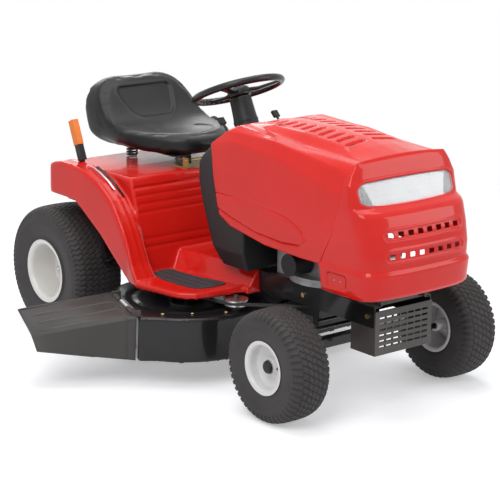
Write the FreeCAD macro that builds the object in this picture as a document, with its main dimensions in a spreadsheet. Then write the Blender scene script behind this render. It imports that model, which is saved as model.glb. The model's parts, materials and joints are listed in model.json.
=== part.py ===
import FreeCAD, Part
import math
import os
import re
import Sketcher
from FreeCAD import Placement, Rotation, Vector

# A riding lawn mower as a parametric document, in millimetres.
# X is across (the discharge chute is on the -X side), -Y is forward, +Z is up.
# While it is built, X = 0 is the tractor's centre plane, Y = 0 the rear axle and Z = 0 the ground.
# The last step moves every sub-part so that the origin is the bottom centre of the whole machine.

DIMENSIONS = {
    # running gear
    "wheelbase": 1243, "front_track": 749, "rear_track": 731,
    "front_tyre_radius": 185.4, "front_tyre_width": 149, "front_bead_radius": 76.2,
    "front_flange_radius": 89.7, "front_rim_width": 133,
    "rear_tyre_radius": 239.2, "rear_tyre_width": 200, "rear_bead_radius": 101.6,
    "rear_flange_radius": 118.6, "rear_rim_width": 192,
    "rim_sheet": 2.5, "tread_depth": 13, "sidewall": 8, "hub_radius": 19,
    "shaft_radius": 9.5, "running_clearance": 0.05, "seat_gap": 0.1, "part_gap": 0.3,
    "cap_radius": 21, "cap_length": 14,
    # frame
    "frame_width": 250, "rail_sheet": 4, "rail_height": 70, "rail_flange": 26,
    "rail_bottom": 300, "rail_lead": 174, "rail_rear": 170,
    "front_plate_height": 147, "front_plate_low": 208, "plate_lead": 177, "front_plate_depth": 112,
    "slot_length": 26, "slot_height": 7, "slot_rows": 6, "slot_columns": 7, "slot_pitch_z": 19,
    "slot_pitch_x": 31, "hitch_hole_radius": 8, "hitch_sheet": 6,
    # front axle and steering
    "axle_beam_width": 50, "axle_beam_height": 30, "axle_beam_z": 224, "kingpin_x": 268,
    "kingpin_radius": 9.5, "kingpin_boss_radius": 17, "kingpin_boss_height": 52, "axle_pivot_z": 247,
    "axle_pivot_radius": 10, "steering_arm": 75, "arm_width": 24, "arm_sheet": 6, "tie_rod_radius": 6,
    "column_y": -559, "column_z": 942, "column_tilt": 23.3, "column_radius": 40,
    "column_cover_length": 175, "wheel_ring_radius": 155, "wheel_grip_radius": 13, "wheel_drop": 6,
    "shaft_length": 560, "wheel_hub_radius": 42, "spoke_width": 30, "spoke_sheet": 9,
    # hood, nose and headlights
    "hood_width": 460, "hood_sheet": 2.5, "hood_crown_width": 300, "hood_top_width": 380,
    "hinge_lead": 162, "hood_hinge_z": 397, "hood_hinge_radius": 6, "nose_width": 464,
    "lens_width": 410, "vent_width": 22, "vent_height": 15, "vent_pitch": 40,
    "vent_count": 8,
    # fender, running boards and mats
    "fender_width": 852, "board_width": 876, "tunnel_z": 378,
    "tunnel_foot": 230, "tunnel_rear": -455, "tunnel_taper": 0.16, "fender_sheet": 3,
    "deck_recess_width": 690,
    "board_z": 314, "seat_deck_z": 640, "arch_top": 655, "mat_sheet": 4, "mat_outer": 341, "mat_inner": 238,
    "slot_width": 14,
    # dash pedestal
    "dash_width": 444, "dash_sheet": 3, "dash_front": -866,
    # seat
    "seat_width": 460, "seat_pivot_y": -352, "seat_pivot_z": 664, "seat_pan_width": 270,
    "seat_pan_sheet": 4, "spring_radius": 19, "spring_wire": 3.2, "spring_x": 112,
    "spring_y": -70,
    # levers
    "seat_base_z": 690,
    "lift_x": -360, "lift_pivot_y": -253, "lift_pivot_z": 330, "lift_lean": 23,
    "lift_sheet": 7, "lift_width": 18, "grip_radius": 15, "grip_length": 92, "sleeve_length": 58,
    "lift_shaft_radius": 8,
    "shift_x": 300, "shift_pivot_y": -32, "shift_pivot_z": 575, "shift_rod_radius": 5,
    "shift_length": 132, "knob_radius": 21,
    "dash_lever_x": 120, "pedal_y": -720, "pedal_z": 470,
    "pedal_pin_radius": 6,
    # engine bay
    "engine_y": -1035, "engine_width": 210, "engine_length": 250, "engine_height": 110,
    "engine_plate": 5, "shroud_radius": 118, "shroud_height": 120,
    "filter_radius": 38, "filter_length": 78, "muffler_radius": 48, "muffler_length": 190,
    "tank_width": 330, "tank_length": 90, "tank_height": 150, "tank_y": -925,
    "battery_y": -60, "battery_tray": 4, "hanger_behind": 110,
    "hanger_x": 95, "hanger_radius": 5,
    "battery_width": 130, "battery_length": 195, "battery_height": 150,
    # drive line
    "transaxle_width": 170, "transaxle_length": 150, "transaxle_height": 120,
    "axle_tube_radius": 24, "axle_tube_end": 205,
    # mower deck
    "spindle_x": 262, "spindle_y_right": -603, "spindle_y_left": -566, "blade_radius": 258,
    "blade_width": 57, "blade_sheet": 5, "blade_z": 108, "deck_radius": 283, "deck_low": 90,
    "deck_top": 247, "deck_sheet": 3, "housing_radius": 42,
    "housing_height": 14, "pulley_radius": 57, "pulley_height": 20,
    "idler_x": -226, "idler_y": -838, "idler_radius": 42,
    "belt_width": 10, "belt_depth": 9, "belt_z": 276, "engine_pulley_radius": 50,
    "blade_shaft_radius": 8,
    # discharge chute
    "chute_sheet": 4, "chute_reach": 372, "chute_pin_radius": 4, "chute_knuckle_radius": 8,
    # fasteners
    "bolt_head_radius": 8, "bolt_head": 6,
}

# Places that follow the front axle, as formulas of the same sheet.
FOLLOWING = {
    "rail_front": "-wheelbase - rail_lead", "front_plate_y": "-wheelbase - plate_lead",
    "hood_hinge_y": "-wheelbase - hinge_lead", "hanger_y": "-wheelbase + hanger_behind",
}

DOC = FreeCAD.newDocument("riding_mower")
SHEET = DOC.addObject("Spreadsheet::Sheet", "Dims")
for row, (alias, number) in enumerate((DIMENSIONS | FOLLOWING).items(), start=1):
    SHEET.set(f"A{row}", alias)
    SHEET.set(f"B{row}", f"={number}")
    SHEET.setAlias(f"B{row}", alias)
DOC.recompute()

NODES = []
SIDES = (("right", -1), ("left", 1))
ALIAS = re.compile(r"\b(" + "|".join(sorted(DIMENSIONS | FOLLOWING, key=len, reverse=True)) + r")\b")
TURN = {
    "x": Rotation(Vector(0, 1, 0), 90),
    "y": Rotation(Vector(1, 0, 0), -90),
    "z": Rotation(),
}


def val(alias):
    """A driving dimension, read back from the sheet."""
    return float(SHEET.get(alias))


def bound(text):
    """An expression in which each dimension's name points at its cell."""
    return ALIAS.sub(lambda found: "Dims." + found.group(1), str(text))


def node(obj, label):
    """Registers a finished sub-part under the name of its file."""
    obj.Label = label
    NODES.append(obj)
    return obj


# ---------------------------------------------------------------- bound primitives and booleans
def primitive(kind, sizes, corner, turn):
    obj = DOC.addObject(kind, kind.split("::")[1])
    obj.Placement = Placement(Vector(), turn)
    for prop, text in sizes.items():
        obj.setExpression(prop, bound(text))
    for letter, text in zip("xyz", corner):
        obj.setExpression("Placement.Base." + letter, bound(text))
    return obj


def box(corner, size, turn=Rotation()):
    sizes = dict(zip(("Length", "Width", "Height"), size))
    return primitive("Part::Box", sizes, corner, turn)


def mid_box(centre, size):
    """A box given by its centre."""
    corner = [f"({place}) - ({span}) / 2" for place, span in zip(centre, size)]
    return box(corner, size)


def rod(start, radius, length, axis="z"):
    return primitive("Part::Cylinder", {"Radius": radius, "Height": length}, start, TURN[axis])


def mid_rod(centre, radius, length, axis="z"):
    """A cylinder given by the middle of its axis, which lies along x, y or z."""
    start = [f"({place}) - ({length}) / 2" if letter == axis else place
             for letter, place in zip("xyz", centre)]
    return rod(start, radius, length, axis)


def fuse(*objs):
    obj = DOC.addObject("Part::MultiFuse", "Fusion")
    obj.Shapes = list(objs)
    return obj


def cut(base, *tools):
    obj = DOC.addObject("Part::Cut", "Cut")
    obj.Base = base
    obj.Tool = tools[0] if len(tools) == 1 else fuse(*tools)
    return obj


def group(*objs):
    obj = DOC.addObject("Part::Compound", "Group")
    obj.Links = list(objs)
    return obj


# ---------------------------------------------------------------- sketched bodies
def sketch_on(body, role, points, name):
    """A closed polygon on one of the body's origin planes, each corner bound to the sheet."""
    plane = next(item for item in body.Origin.OriginFeatures if item.Role == role)
    sketch = body.newObject("Sketcher::SketchObject", name)
    sketch.AttachmentSupport = [(plane, "")]
    sketch.MapMode = "FlatFace"
    spots = [Vector(*[eval_now(text) for text in point], 0) for point in points]
    for first, second in zip(spots, spots[1:] + spots[:1]):
        sketch.addGeometry(Part.LineSegment(first, second), False)
    count = len(spots)
    for index in range(count):
        sketch.addConstraint(Sketcher.Constraint("Coincident", index, 2, (index + 1) % count, 1))
    for index, point in enumerate(points):
        for kind, text, number in zip(("DistanceX", "DistanceY"), point, spots[index]):
            sketch.addConstraint(Sketcher.Constraint(kind, -1, 1, index, 1, number))
            sketch.setExpression(f"Constraints[{sketch.ConstraintCount - 1}]", bound(text))
    return sketch


def eval_now(text):
    """The present value of an expression, through a throwaway cell of the sheet."""
    SHEET.set("D1", "=" + ALIAS.sub(lambda found: found.group(1), str(text)))
    SHEET.recompute()
    return float(SHEET.get("D1"))


def turned_body(points, centre):
    """A PartDesign body turned about X; points are (x, radius) and centre places it."""
    body = DOC.addObject("PartDesign::Body", "Body")
    sketch = sketch_on(body, "XY_Plane", points, "profile")
    revolution = body.newObject("PartDesign::Revolution", "turn")
    revolution.Profile = sketch
    revolution.ReferenceAxis = (sketch, ["H_Axis"])
    revolution.Angle = 360
    body.Tip = revolution
    for letter, text in zip("xyz", centre):
        body.setExpression("Placement.Base." + letter, bound(text))
    return body


# ---------------------------------------------------------------- shapes made from the sheet's values
PLACE = {
    "x": lambda a, b, c: Vector(c, a, b),
    "y": lambda a, b, c: Vector(a, c, b),
    "z": lambda a, b, c: Vector(a, b, c),
}


def prism(points, axis, low, high):
    """A straight solid: points lie across the axis, which runs from low to high."""
    corners = [PLACE[axis](a, b, low) for a, b in points]
    face = Part.Face(Part.makePolygon(corners + corners[:1]))
    return face.extrude(PLACE[axis](0, 0, high - low))


def mirrored(points):
    """Points with their mirror images across the first coordinate, as one closed outline."""
    return points + [(-a, b) for a, b in reversed(points)]


def inset(points, gap):
    """The outline moved inwards (or outwards, where gap is negative) by one distance."""
    area = sum(a[0] * b[1] - b[0] * a[1] for a, b in zip(points, points[1:] + points[:1]))
    way = 1 if area > 0 else -1
    moved = []
    for before, here, after in zip(points[-1:] + points[:-1], points, points[1:] + points[:1]):
        first = Vector(here[0] - before[0], here[1] - before[1], 0).normalize()
        second = Vector(after[0] - here[0], after[1] - here[1], 0).normalize()
        normal = Vector(-first.y - second.y, first.x + second.x, 0) * way
        reach = gap * 2 / (normal.Length ** 2)
        moved.append((here[0] + normal.x * reach, here[1] + normal.y * reach))
    return moved


def feature(shape):
    obj = DOC.addObject("Part::Feature", "Shape")
    obj.Shape = shape
    return obj


def path_tube(points, radius, bend):
    """A round bar along straight runs joined by tangent arcs."""
    edges = []
    start = points[0]
    for corner, after in zip(points[1:-1], points[2:]):
        before = (start - corner).normalize()
        beyond = (after - corner).normalize()
        half = before.getAngle(beyond) / 2
        setback = bend / math.tan(half)
        centre = corner + (before + beyond).normalize() * (bend / math.sin(half))
        first = corner + before * setback
        last = corner + beyond * setback
        middle = centre + (corner - centre).normalize() * bend
        edges.append(Part.LineSegment(start, first).toShape())
        edges.append(Part.Arc(first, middle, last).toShape())
        start = last
    edges.append(Part.LineSegment(start, points[-1]).toShape())
    disc = Part.Wire(Part.makeCircle(radius, points[0], points[1] - points[0]))
    return Part.Wire(edges).makePipeShell([disc], True, True)


def slab_hull(circles, low, high):
    """The solid inside a taut band round circles given as (x, y, radius), all of them on the hull."""
    points = []
    for x, y, radius in circles:
        for step in range(48):
            angle = 2 * math.pi * step / 48
            points.append((x + radius * math.cos(angle), y + radius * math.sin(angle)))
    points = sorted(set(points))
    hull = []
    for line in (points, points[::-1]):
        start = len(hull)
        for spot in line:
            while len(hull) - start > 1:
                ax, ay = hull[-2]
                bx, by = hull[-1]
                if (bx - ax) * (spot[1] - ay) - (by - ay) * (spot[0] - ax) > 1e-9:
                    break
                hull.pop()
            hull.append(spot)
        hull.pop()
    return prism(hull, "z", low, high)


# ---------------------------------------------------------------- wheels
def tyre(kind, centre):
    bead = f"{kind}_bead_radius + seat_gap"
    flange = f"{kind}_flange_radius"
    outer = f"{kind}_tyre_radius"
    half = f"{kind}_tyre_width / 2"
    lip = f"{kind}_rim_width / 2 - rim_sheet - seat_gap"
    quarter = [
        (lip, bead), (lip, f"{flange} + 3"), (half, f"({flange} + {outer}) / 2"),
        (f"{half} - 4", f"{outer} - 26"), (f"{half} - 15", f"{outer} - 8"),
        (f"{half} - 36", f"{outer} - 1"),
    ]
    hollow = [
        (f"{half} - 40", f"{outer} - tread_depth"), (f"{half} - 21", f"{outer} - 24"),
        (f"{half} - sidewall", f"({flange} + {outer}) / 2"),
        (f"{lip} - sidewall", f"{flange} + 6"), (f"{lip} - 14", bead),
    ]
    top = (("0", outer),)
    inner_top = (("0", f"{outer} - tread_depth"),)
    left = [(f"-({x})", r) for x, r in quarter]
    left_hollow = [(f"-({x})", r) for x, r in hollow]
    outline = quarter + list(top) + left[::-1] + left_hollow[::-1] + list(inner_top) + hollow
    return turned_body(outline, centre)


def rim(kind, centre, side, bore, hub_inner, hub_outer, dish):
    """A pressed wheel: a barrel with two flanges, a dished disc and a hub tube with its bore."""
    half = f"{kind}_rim_width / 2"
    seat = f"{kind}_bead_radius"
    flange = f"{kind}_flange_radius"
    barrel = turned_body([
        (half, flange), (f"{half} - rim_sheet", flange), (f"{half} - rim_sheet", seat),
        (f"-({half}) + rim_sheet", seat), (f"-({half}) + rim_sheet", flange),
        (f"-({half})", flange), (f"-({half})", f"{seat} - rim_sheet"),
        (half, f"{seat} - rim_sheet"),
    ], centre)
    x, y, z = centre
    disc_x = f"({x}) + ({side}) * ({dish})"
    disc = mid_rod((disc_x, y, z), f"{seat} - rim_sheet / 2", "rim_sheet * 1.4", "x")
    hub_x = f"({x}) + ({side}) * ({hub_outer} + {hub_inner}) / 2"
    hub = mid_rod((hub_x, y, z), "hub_radius", f"{hub_outer} - ({hub_inner})", "x")
    hole = mid_rod((hub_x, y, z), bore, f"{hub_outer} - ({hub_inner}) + 2", "x")
    return cut(fuse(barrel, disc, hub), hole)


def front_wheel(name, side):
    centre = (f"{side} * front_track / 2", "-wheelbase", "front_tyre_radius")
    x, y, z = centre
    bore = "shaft_radius + running_clearance"
    node(tyre("front", centre), f"front_tyre_{name}")
    node(rim("front", centre, side, bore, "-52", "38", "20"), f"front_rim_{name}")
    cap_x = f"({x}) + {side} * (38 + cap_length / 2 + seat_gap)"
    cap = mid_rod((cap_x, y, z), "cap_radius", "cap_length", "x")
    room = mid_rod((f"({cap_x}) - {side} * 3", y, z), "cap_radius - 3", "cap_length", "x")
    stem_x = f"({x}) + {side} * (20 + rim_sheet * 0.7 + 14)"
    stem = mid_rod((stem_x, f"({y}) - 52", f"({z}) + 8"), "4", "28", "x")
    node(group(cut(cap, room), stem), f"front_cap_{name}")


def rear_wheel(name, side):
    centre = (f"{side} * rear_track / 2", "0", "rear_tyre_radius")
    x, y, z = centre
    node(tyre("rear", centre), f"rear_tyre_{name}")
    bore = "shaft_radius + running_clearance"
    wheel = rim("rear", centre, side, bore, "-70", "22", "-18")
    inner = "axle_tube_end - 60"
    axle_end = "rear_track / 2 + 40"
    middle = f"{side} * ({axle_end} + {inner}) / 2"
    axle = mid_rod((middle, y, z), "shaft_radius", f"{axle_end} - ({inner})", "x")
    clip = mid_rod((f"({x}) + {side} * (22 + seat_gap + 2)", y, z), "hub_radius - 3", "4", "x")
    hole = mid_rod((f"({x}) + {side} * 24", y, z), bore, "8", "x")
    node(group(wheel, cut(clip, hole), axle), f"rear_rim_and_axle_{name}")


for name, side in SIDES:
    front_wheel(name, side)
    rear_wheel(name, side)


# ---------------------------------------------------------------- frame
def frame_rails():
    rails = []
    run = "rail_rear - rail_front"
    for side in (-1, 1):
        web = mid_box((f"{side} * (frame_width - rail_sheet) / 2", "(rail_rear + rail_front) / 2",
                       "rail_bottom + rail_height / 2"), ("rail_sheet", run, "rail_height"))
        flange_x = f"{side} * (frame_width - rail_flange) / 2"
        top = mid_box((flange_x, "(rail_rear + rail_front) / 2",
                       "rail_bottom + rail_height - rail_sheet / 2"),
                      ("rail_flange", run, "rail_sheet"))
        low = mid_box((flange_x, "(rail_rear + rail_front) / 2", "rail_bottom + rail_sheet / 2"),
                      ("rail_flange", run, "rail_sheet"))
        rail = fuse(web, top, low)
        if side < 0:
            rail = cut(rail, mid_rod(("-frame_width / 2", "lift_pivot_y", "lift_pivot_z"),
                                     "lift_shaft_radius + running_clearance", "40", "x"))
        rails.append(rail)
    node(group(*rails), "frame_rails")


def front_plate():
    """The slotted plate on the nose of the frame, with two side walls under the rails."""
    wall = mid_box(("0", "front_plate_y", "front_plate_low + front_plate_height / 2"),
                   ("frame_width", "rail_sheet * 1.5", "front_plate_height"))
    first_x = "-(slot_columns - 1) * slot_pitch_x / 2"
    cuts = []
    for row in range(int(val("slot_rows"))):
        for column in range(int(val("slot_columns"))):
            spot = (f"{first_x} + {column} * slot_pitch_x", "front_plate_y",
                    f"front_plate_low + 28 + {row} * slot_pitch_z")
            cuts.append(mid_box(spot, ("slot_length", "20", "slot_height")))
    sides = []
    for side in (-1, 1):
        spot = (f"{side} * (frame_width - rail_sheet) / 2", "front_plate_y + front_plate_depth / 2",
                "(front_plate_low + rail_bottom) / 2")
        sides.append(mid_box(spot, ("rail_sheet", "front_plate_depth",
                                    "rail_bottom - front_plate_low - 0.02")))
    node(cut(fuse(wall, *sides), *cuts), "front_plate")


def hinge_bracket():
    """Carries the hood's hinge pin on top of the rails' front end."""
    top = "(rail_bottom + rail_height)"
    base = mid_box(("0", "rail_front + 40", f"{top} + 2"), ("frame_width", "70", "4"))
    ears = [mid_box((f"{side} * 96", "hood_hinge_y", f"({top} + hood_hinge_z + 14) / 2"),
                    ("6", "30", f"hood_hinge_z + 14 - {top}")) for side in (-1, 1)]
    hole = mid_rod(("0", "hood_hinge_y", "hood_hinge_z"), "hood_hinge_radius + running_clearance",
                   "frame_width", "x")
    windows = [mid_box((f"{x}", "rail_front + 46", f"{top} + 2"), ("24", "22", "10"))
               for x in (-60, -20, 20, 60)]
    node(cut(fuse(base, *ears), hole, *windows), "hood_hinge_bracket")


def crossmembers():
    """Bridges between the rails: the axle pivot, the engine plate, two stiffeners and the hitch."""
    inner = "frame_width - 2 * rail_sheet - 2 * part_gap"
    mid_z = "rail_bottom + rail_height / 2"
    open_height = "rail_height - 2 * rail_sheet - 2 * part_gap"
    bars = [mid_box(("0", y, mid_z), (inner, "40", open_height)) for y in ("-720", "-330")]
    axle_bar = mid_box(("0", "-wheelbase", mid_z), (inner, "70", open_height))
    ears = [mid_box(("0", f"-wheelbase + {way} * (axle_beam_width / 2 + part_gap + 4)",
                     "(axle_pivot_z + rail_bottom + 12) / 2 - 8"),
                    ("60", "8", "rail_bottom + 40 - axle_pivot_z")) for way in (-1, 1)]
    pin = mid_rod(("0", "-wheelbase", "axle_pivot_z"), "axle_pivot_radius",
                  "axle_beam_width + 2 * part_gap + 30", "y")
    axle_mount = fuse(axle_bar, *ears, pin)
    rail_top = "(rail_bottom + rail_height)"
    tray = mid_box(("0", "battery_y", f"{rail_top} + battery_tray / 2"),
                   ("frame_width", "battery_length + 12", "battery_tray"))
    plate = mid_box(("0", "engine_y", f"{rail_top} + engine_plate / 2"),
                    ("frame_width", "engine_length + 20", "engine_plate"))
    window = rod(("0", "engine_y", "rail_bottom"), "32", "200")
    bars += [tray, cut(plate, window)]
    for side in (-1, 1):
        bars.append(mid_box((f"{side} * (frame_width - rail_sheet) / 2", "hanger_y",
                             "rail_bottom - 65"), ("rail_sheet", "24", "129.98")))
    hitch = mid_box(("0", "rail_rear + 34", "rail_bottom + hitch_sheet / 2"),
                    ("frame_width - 60", "64", "hitch_sheet"))
    back = mid_box(("0", "rail_rear + 3 + part_gap", "rail_bottom + rail_height / 2"),
                   ("frame_width", "6", "rail_height"))
    hole = mid_rod(("0", "rail_rear + 44", "rail_bottom + hitch_sheet / 2"), "hitch_hole_radius",
                   "hitch_sheet + 4")
    node(group(axle_mount, *bars, cut(fuse(hitch, back), hole)), "frame_crossmembers")


frame_rails()
front_plate()
hinge_bracket()
crossmembers()


# ---------------------------------------------------------------- front axle and steering
def front_axle():
    beam = mid_box(("0", "-wheelbase", "axle_beam_z"),
                   ("2 * kingpin_x", "axle_beam_width - 14", "axle_beam_height"))
    crown = mid_box(("0", "-wheelbase", "axle_pivot_z"), ("74", "axle_beam_width", "44"))
    bosses = [rod((f"{side} * kingpin_x", "-wheelbase", "axle_beam_z - kingpin_boss_height / 2"),
                  "kingpin_boss_radius", "kingpin_boss_height") for side in (-1, 1)]
    bores = [rod((f"{side} * kingpin_x", "-wheelbase", "axle_beam_z - 100"),
                 "kingpin_radius + running_clearance", "200") for side in (-1, 1)]
    pivot = mid_rod(("0", "-wheelbase", "axle_pivot_z"), "axle_pivot_radius + running_clearance",
                    "100", "y")
    node(cut(fuse(beam, crown, *bosses), pivot, *bores), "front_axle")


def steering_spindle(name, side):
    """A kingpin with its stub axle below and its steering arm above the axle's boss."""
    x = f"{side} * kingpin_x"
    boss_top = "axle_beam_z + kingpin_boss_height / 2"
    pin = rod((x, "-wheelbase", "front_tyre_radius"), "kingpin_radius",
              f"{boss_top} + part_gap + arm_sheet - front_tyre_radius")
    knuckle_height = "axle_beam_z - kingpin_boss_height / 2 - part_gap - front_tyre_radius + 13"
    knuckle = rod((x, "-wheelbase", "front_tyre_radius - 13"), "kingpin_boss_radius",
                  f"{knuckle_height}")
    stub_run = "front_track / 2 + 38 - kingpin_x"
    stub = mid_rod((f"{side} * (kingpin_x + ({stub_run}) / 2)", "-wheelbase", "front_tyre_radius"),
                   "shaft_radius", stub_run, "x")
    arm = mid_box((x, "-wheelbase + steering_arm / 2", f"{boss_top} + part_gap + arm_sheet / 2"),
                  ("arm_width", "steering_arm + arm_width", "arm_sheet"))
    hole = mid_rod((x, "-wheelbase + steering_arm", f"{boss_top} + part_gap + arm_sheet / 2"),
                   "tie_rod_radius + running_clearance", "20")
    node(cut(fuse(pin, knuckle, stub, arm), hole), f"steering_spindle_{name}")


def tie_rod():
    """Hangs below both steering arms; its pins stand up through them."""
    arm_low = "axle_beam_z + kingpin_boss_height / 2 + part_gap"
    z = f"{arm_low} - part_gap - tie_rod_radius"
    bar = mid_rod(("0", "-wheelbase + steering_arm", z), "tie_rod_radius",
                  "2 * kingpin_x + 20", "x")
    pins = [rod((f"{side} * kingpin_x", "-wheelbase + steering_arm", z), radius,
                f"{arm_low} + arm_sheet - ({z})")
            for side, radius in ((-1, "tie_rod_radius"), (1, "tie_rod_radius - 0.4"))]
    node(fuse(bar, *pins), "tie_rod")


front_axle()
for name, side in SIDES:
    steering_spindle(name, side)
tie_rod()


# ---------------------------------------------------------------- steering column and wheel
def column_point(along):
    """A point on the column's axis, so far above the steering wheel's centre."""
    lean = math.radians(val("column_tilt"))
    return Vector(0, val("column_y") + along * math.sin(lean),
                  val("column_z") + along * math.cos(lean))


def column_axis():
    return (column_point(1) - column_point(0)).normalize()


def steering():
    axis = column_axis()
    centre = column_point(0)
    ring = Part.makeTorus(val("wheel_ring_radius"), val("wheel_grip_radius"), centre, axis)
    hub = Part.makeCylinder(val("wheel_hub_radius"), 34, column_point(-24), axis)
    wheel = ring.fuse(hub)
    for turn in (90, 210, 330):
        reach = val("wheel_ring_radius")
        spoke = Part.makeBox(reach, val("spoke_width"), val("spoke_sheet"),
                             Vector(0, -val("spoke_width") / 2, -val("wheel_drop")))
        spoke.rotate(Vector(), Vector(0, 0, 1), turn)
        spoke.rotate(Vector(), Vector(1, 0, 0), -val("column_tilt"))
        spoke.translate(centre)
        wheel = wheel.fuse(spoke)
    gap = val("running_clearance")
    socket = Part.makeCylinder(val("shaft_radius") + gap, 30, column_point(-30), axis)
    node(feature(wheel.cut(socket)), "steering_wheel")
    shaft = Part.makeCylinder(val("shaft_radius"), val("shaft_length"),
                              column_point(-val("shaft_length")), axis)
    node(feature(shaft), "steering_shaft")
    start = -26 - val("column_cover_length")
    cover = Part.makeCone(val("column_radius") + 9, val("column_radius"),
                          val("column_cover_length"), column_point(start), axis)
    chin = [(-560, 797), (-500, 797), (-500, 600), (-660, 600), (-660, 728)]
    bore = Part.makeCylinder(val("shaft_radius") + gap, 400, column_point(start - 100), axis)
    return cover.cut(prism(chin, "x", -80, 80)).cut(bore)


COLUMN_COVER = steering()


def dash_outline():
    """The pedestal from the side, as (y, z)."""
    front = val("dash_front")
    return [(front, 372), (-735, 372), (-700, 440), (-665, 523), (-636, 599), (-619, 668),
            (-619, 722), (-658, 774), (-704, 821), (-775, 845), (front, 822), (front, 560)]


def dash_section(half):
    """The pedestal from the front, as (x, z): the hood's section, a little smaller."""
    foot = val("tunnel_z") + val("part_gap")
    return mirrored([(half - 20, foot), (half, 440), (half, 752), (half - 22, 796),
                     (half - 43, 846), (half - 70, 880)])


def dash_pedestal():
    half = val("dash_width") / 2
    wall = val("dash_sheet")
    foot = val("tunnel_z") + val("part_gap")
    outline = [(val("dash_front"), foot), (-732, foot)] + dash_outline()[2:-1]
    solid = prism(outline, "x", -half, half).common(prism(dash_section(half), "y", -900, -600))
    inner = inset(outline, wall)
    inner[0] = (inner[0][0], foot - 20)
    inner[1] = (inner[1][0], foot - 20)
    section = inset(dash_section(half), wall)
    section[0] = (section[0][0], foot - 20)
    section[-1] = (section[-1][0], foot - 20)
    hollow = prism(inner, "x", -half, half).common(prism(section, "y", -900, -600))
    hole = Part.makeCylinder(val("shaft_radius") + 4, 900, column_point(-900), column_axis())
    pin = Part.makeCylinder(val("pedal_pin_radius"), 18,
                            Vector(half - 1, val("pedal_y"), val("pedal_z")), Vector(1, 0, 0))
    node(feature(solid.cut(hollow).cut(hole).fuse(pin)), "dash_pedestal")
    cover = COLUMN_COVER.cut(prism(inset(outline, -0.01), "x", -half, half))
    node(feature(cover), "steering_column")


dash_pedestal()


# ---------------------------------------------------------------- hood, nose and headlights
DRAWN_WHEELBASE = 1243


def fore(y):
    """A place along the hood: stretched between the dash and the axle, and moved ahead of it."""
    dash = val("dash_front")
    if y > dash:
        return y
    if y < -DRAWN_WHEELBASE:
        return y + DRAWN_WHEELBASE - val("wheelbase")
    return dash + (y - dash) * (val("wheelbase") + dash) / (DRAWN_WHEELBASE + dash)


def along_hood(points):
    return [(fore(y), z) for y, z in points]


def hood_side():
    """The hood from the side, as (y, z), from its rear low corner round to the nose seam."""
    return along_hood([(-747, 563), (-698, 742), (-790, 880), (-1106, 846), (-1385, 838),
                       (-1374, 798), (-1353, 701), (-1268, 500), (-1072, 512)])


def hood_section(half):
    """The hood from the front, as (x, z): upright sides, a chamfer band and a narrow top."""
    top = val("hood_top_width") / 2
    return mirrored([(half, 300), (half, 760), (half - 22, 800), (top, 842), (top - 40, 872),
                     (top - 60, 900)])


def hood_body(shrink):
    side = hood_side()
    section = hood_section(val("hood_width") / 2)
    if shrink:
        side = inset(side, shrink)
        side[0] = (side[0][0] + 60, 200)
        side[1] = (side[1][0] + 60, side[1][1])
        side[2] = (side[2][0] + 60, side[2][1])
        side[-2] = (side[-2][0] - 60, 200)
        side[-3] = (side[-3][0] - 60, side[-3][1])
        side[-4] = (side[-4][0] - 60, side[-4][1])
        side[-5] = (side[-5][0] - 60, side[-5][1])
        side = side[:-1]
        section = inset(section, shrink)
        section[0] = (section[0][0], 200)
        section[-1] = (section[-1][0], 200)
    body = prism(side, "x", -300, 300)
    return body.common(prism(section, "y", fore(-1500), -600))


def crown(shrink):
    outline = along_hood([(-700, 845), (-790, 866), (-894, 880), (-1046, 884), (-1193, 873),
                          (-1372, 850), (-1384, 790), (-700, 790)])
    half = val("hood_crown_width") / 2
    section = mirrored([(half, 780), (half, 838), (half - 46, 864), (half - 100, 890)])
    if shrink:
        outline = inset(outline, shrink)
        outline[-1] = (outline[-1][0] + 60, 700)
        outline[0] = (outline[0][0] + 60, outline[0][1])
        outline[-2] = (outline[-2][0], 700)
        section = inset(section, shrink)
        section[0] = (section[0][0], 600)
        section[-1] = (section[-1][0], 600)
    return prism(outline, "x", -300, 300).common(prism(section, "y", fore(-1500), -600))


def hood_shell():
    wall = val("hood_sheet")
    shell = hood_body(0).fuse(crown(0)).cut(hood_body(wall).fuse(crown(wall)))
    node(feature(max(shell.Solids, key=lambda solid: solid.Volume)), "hood_shell")


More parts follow.
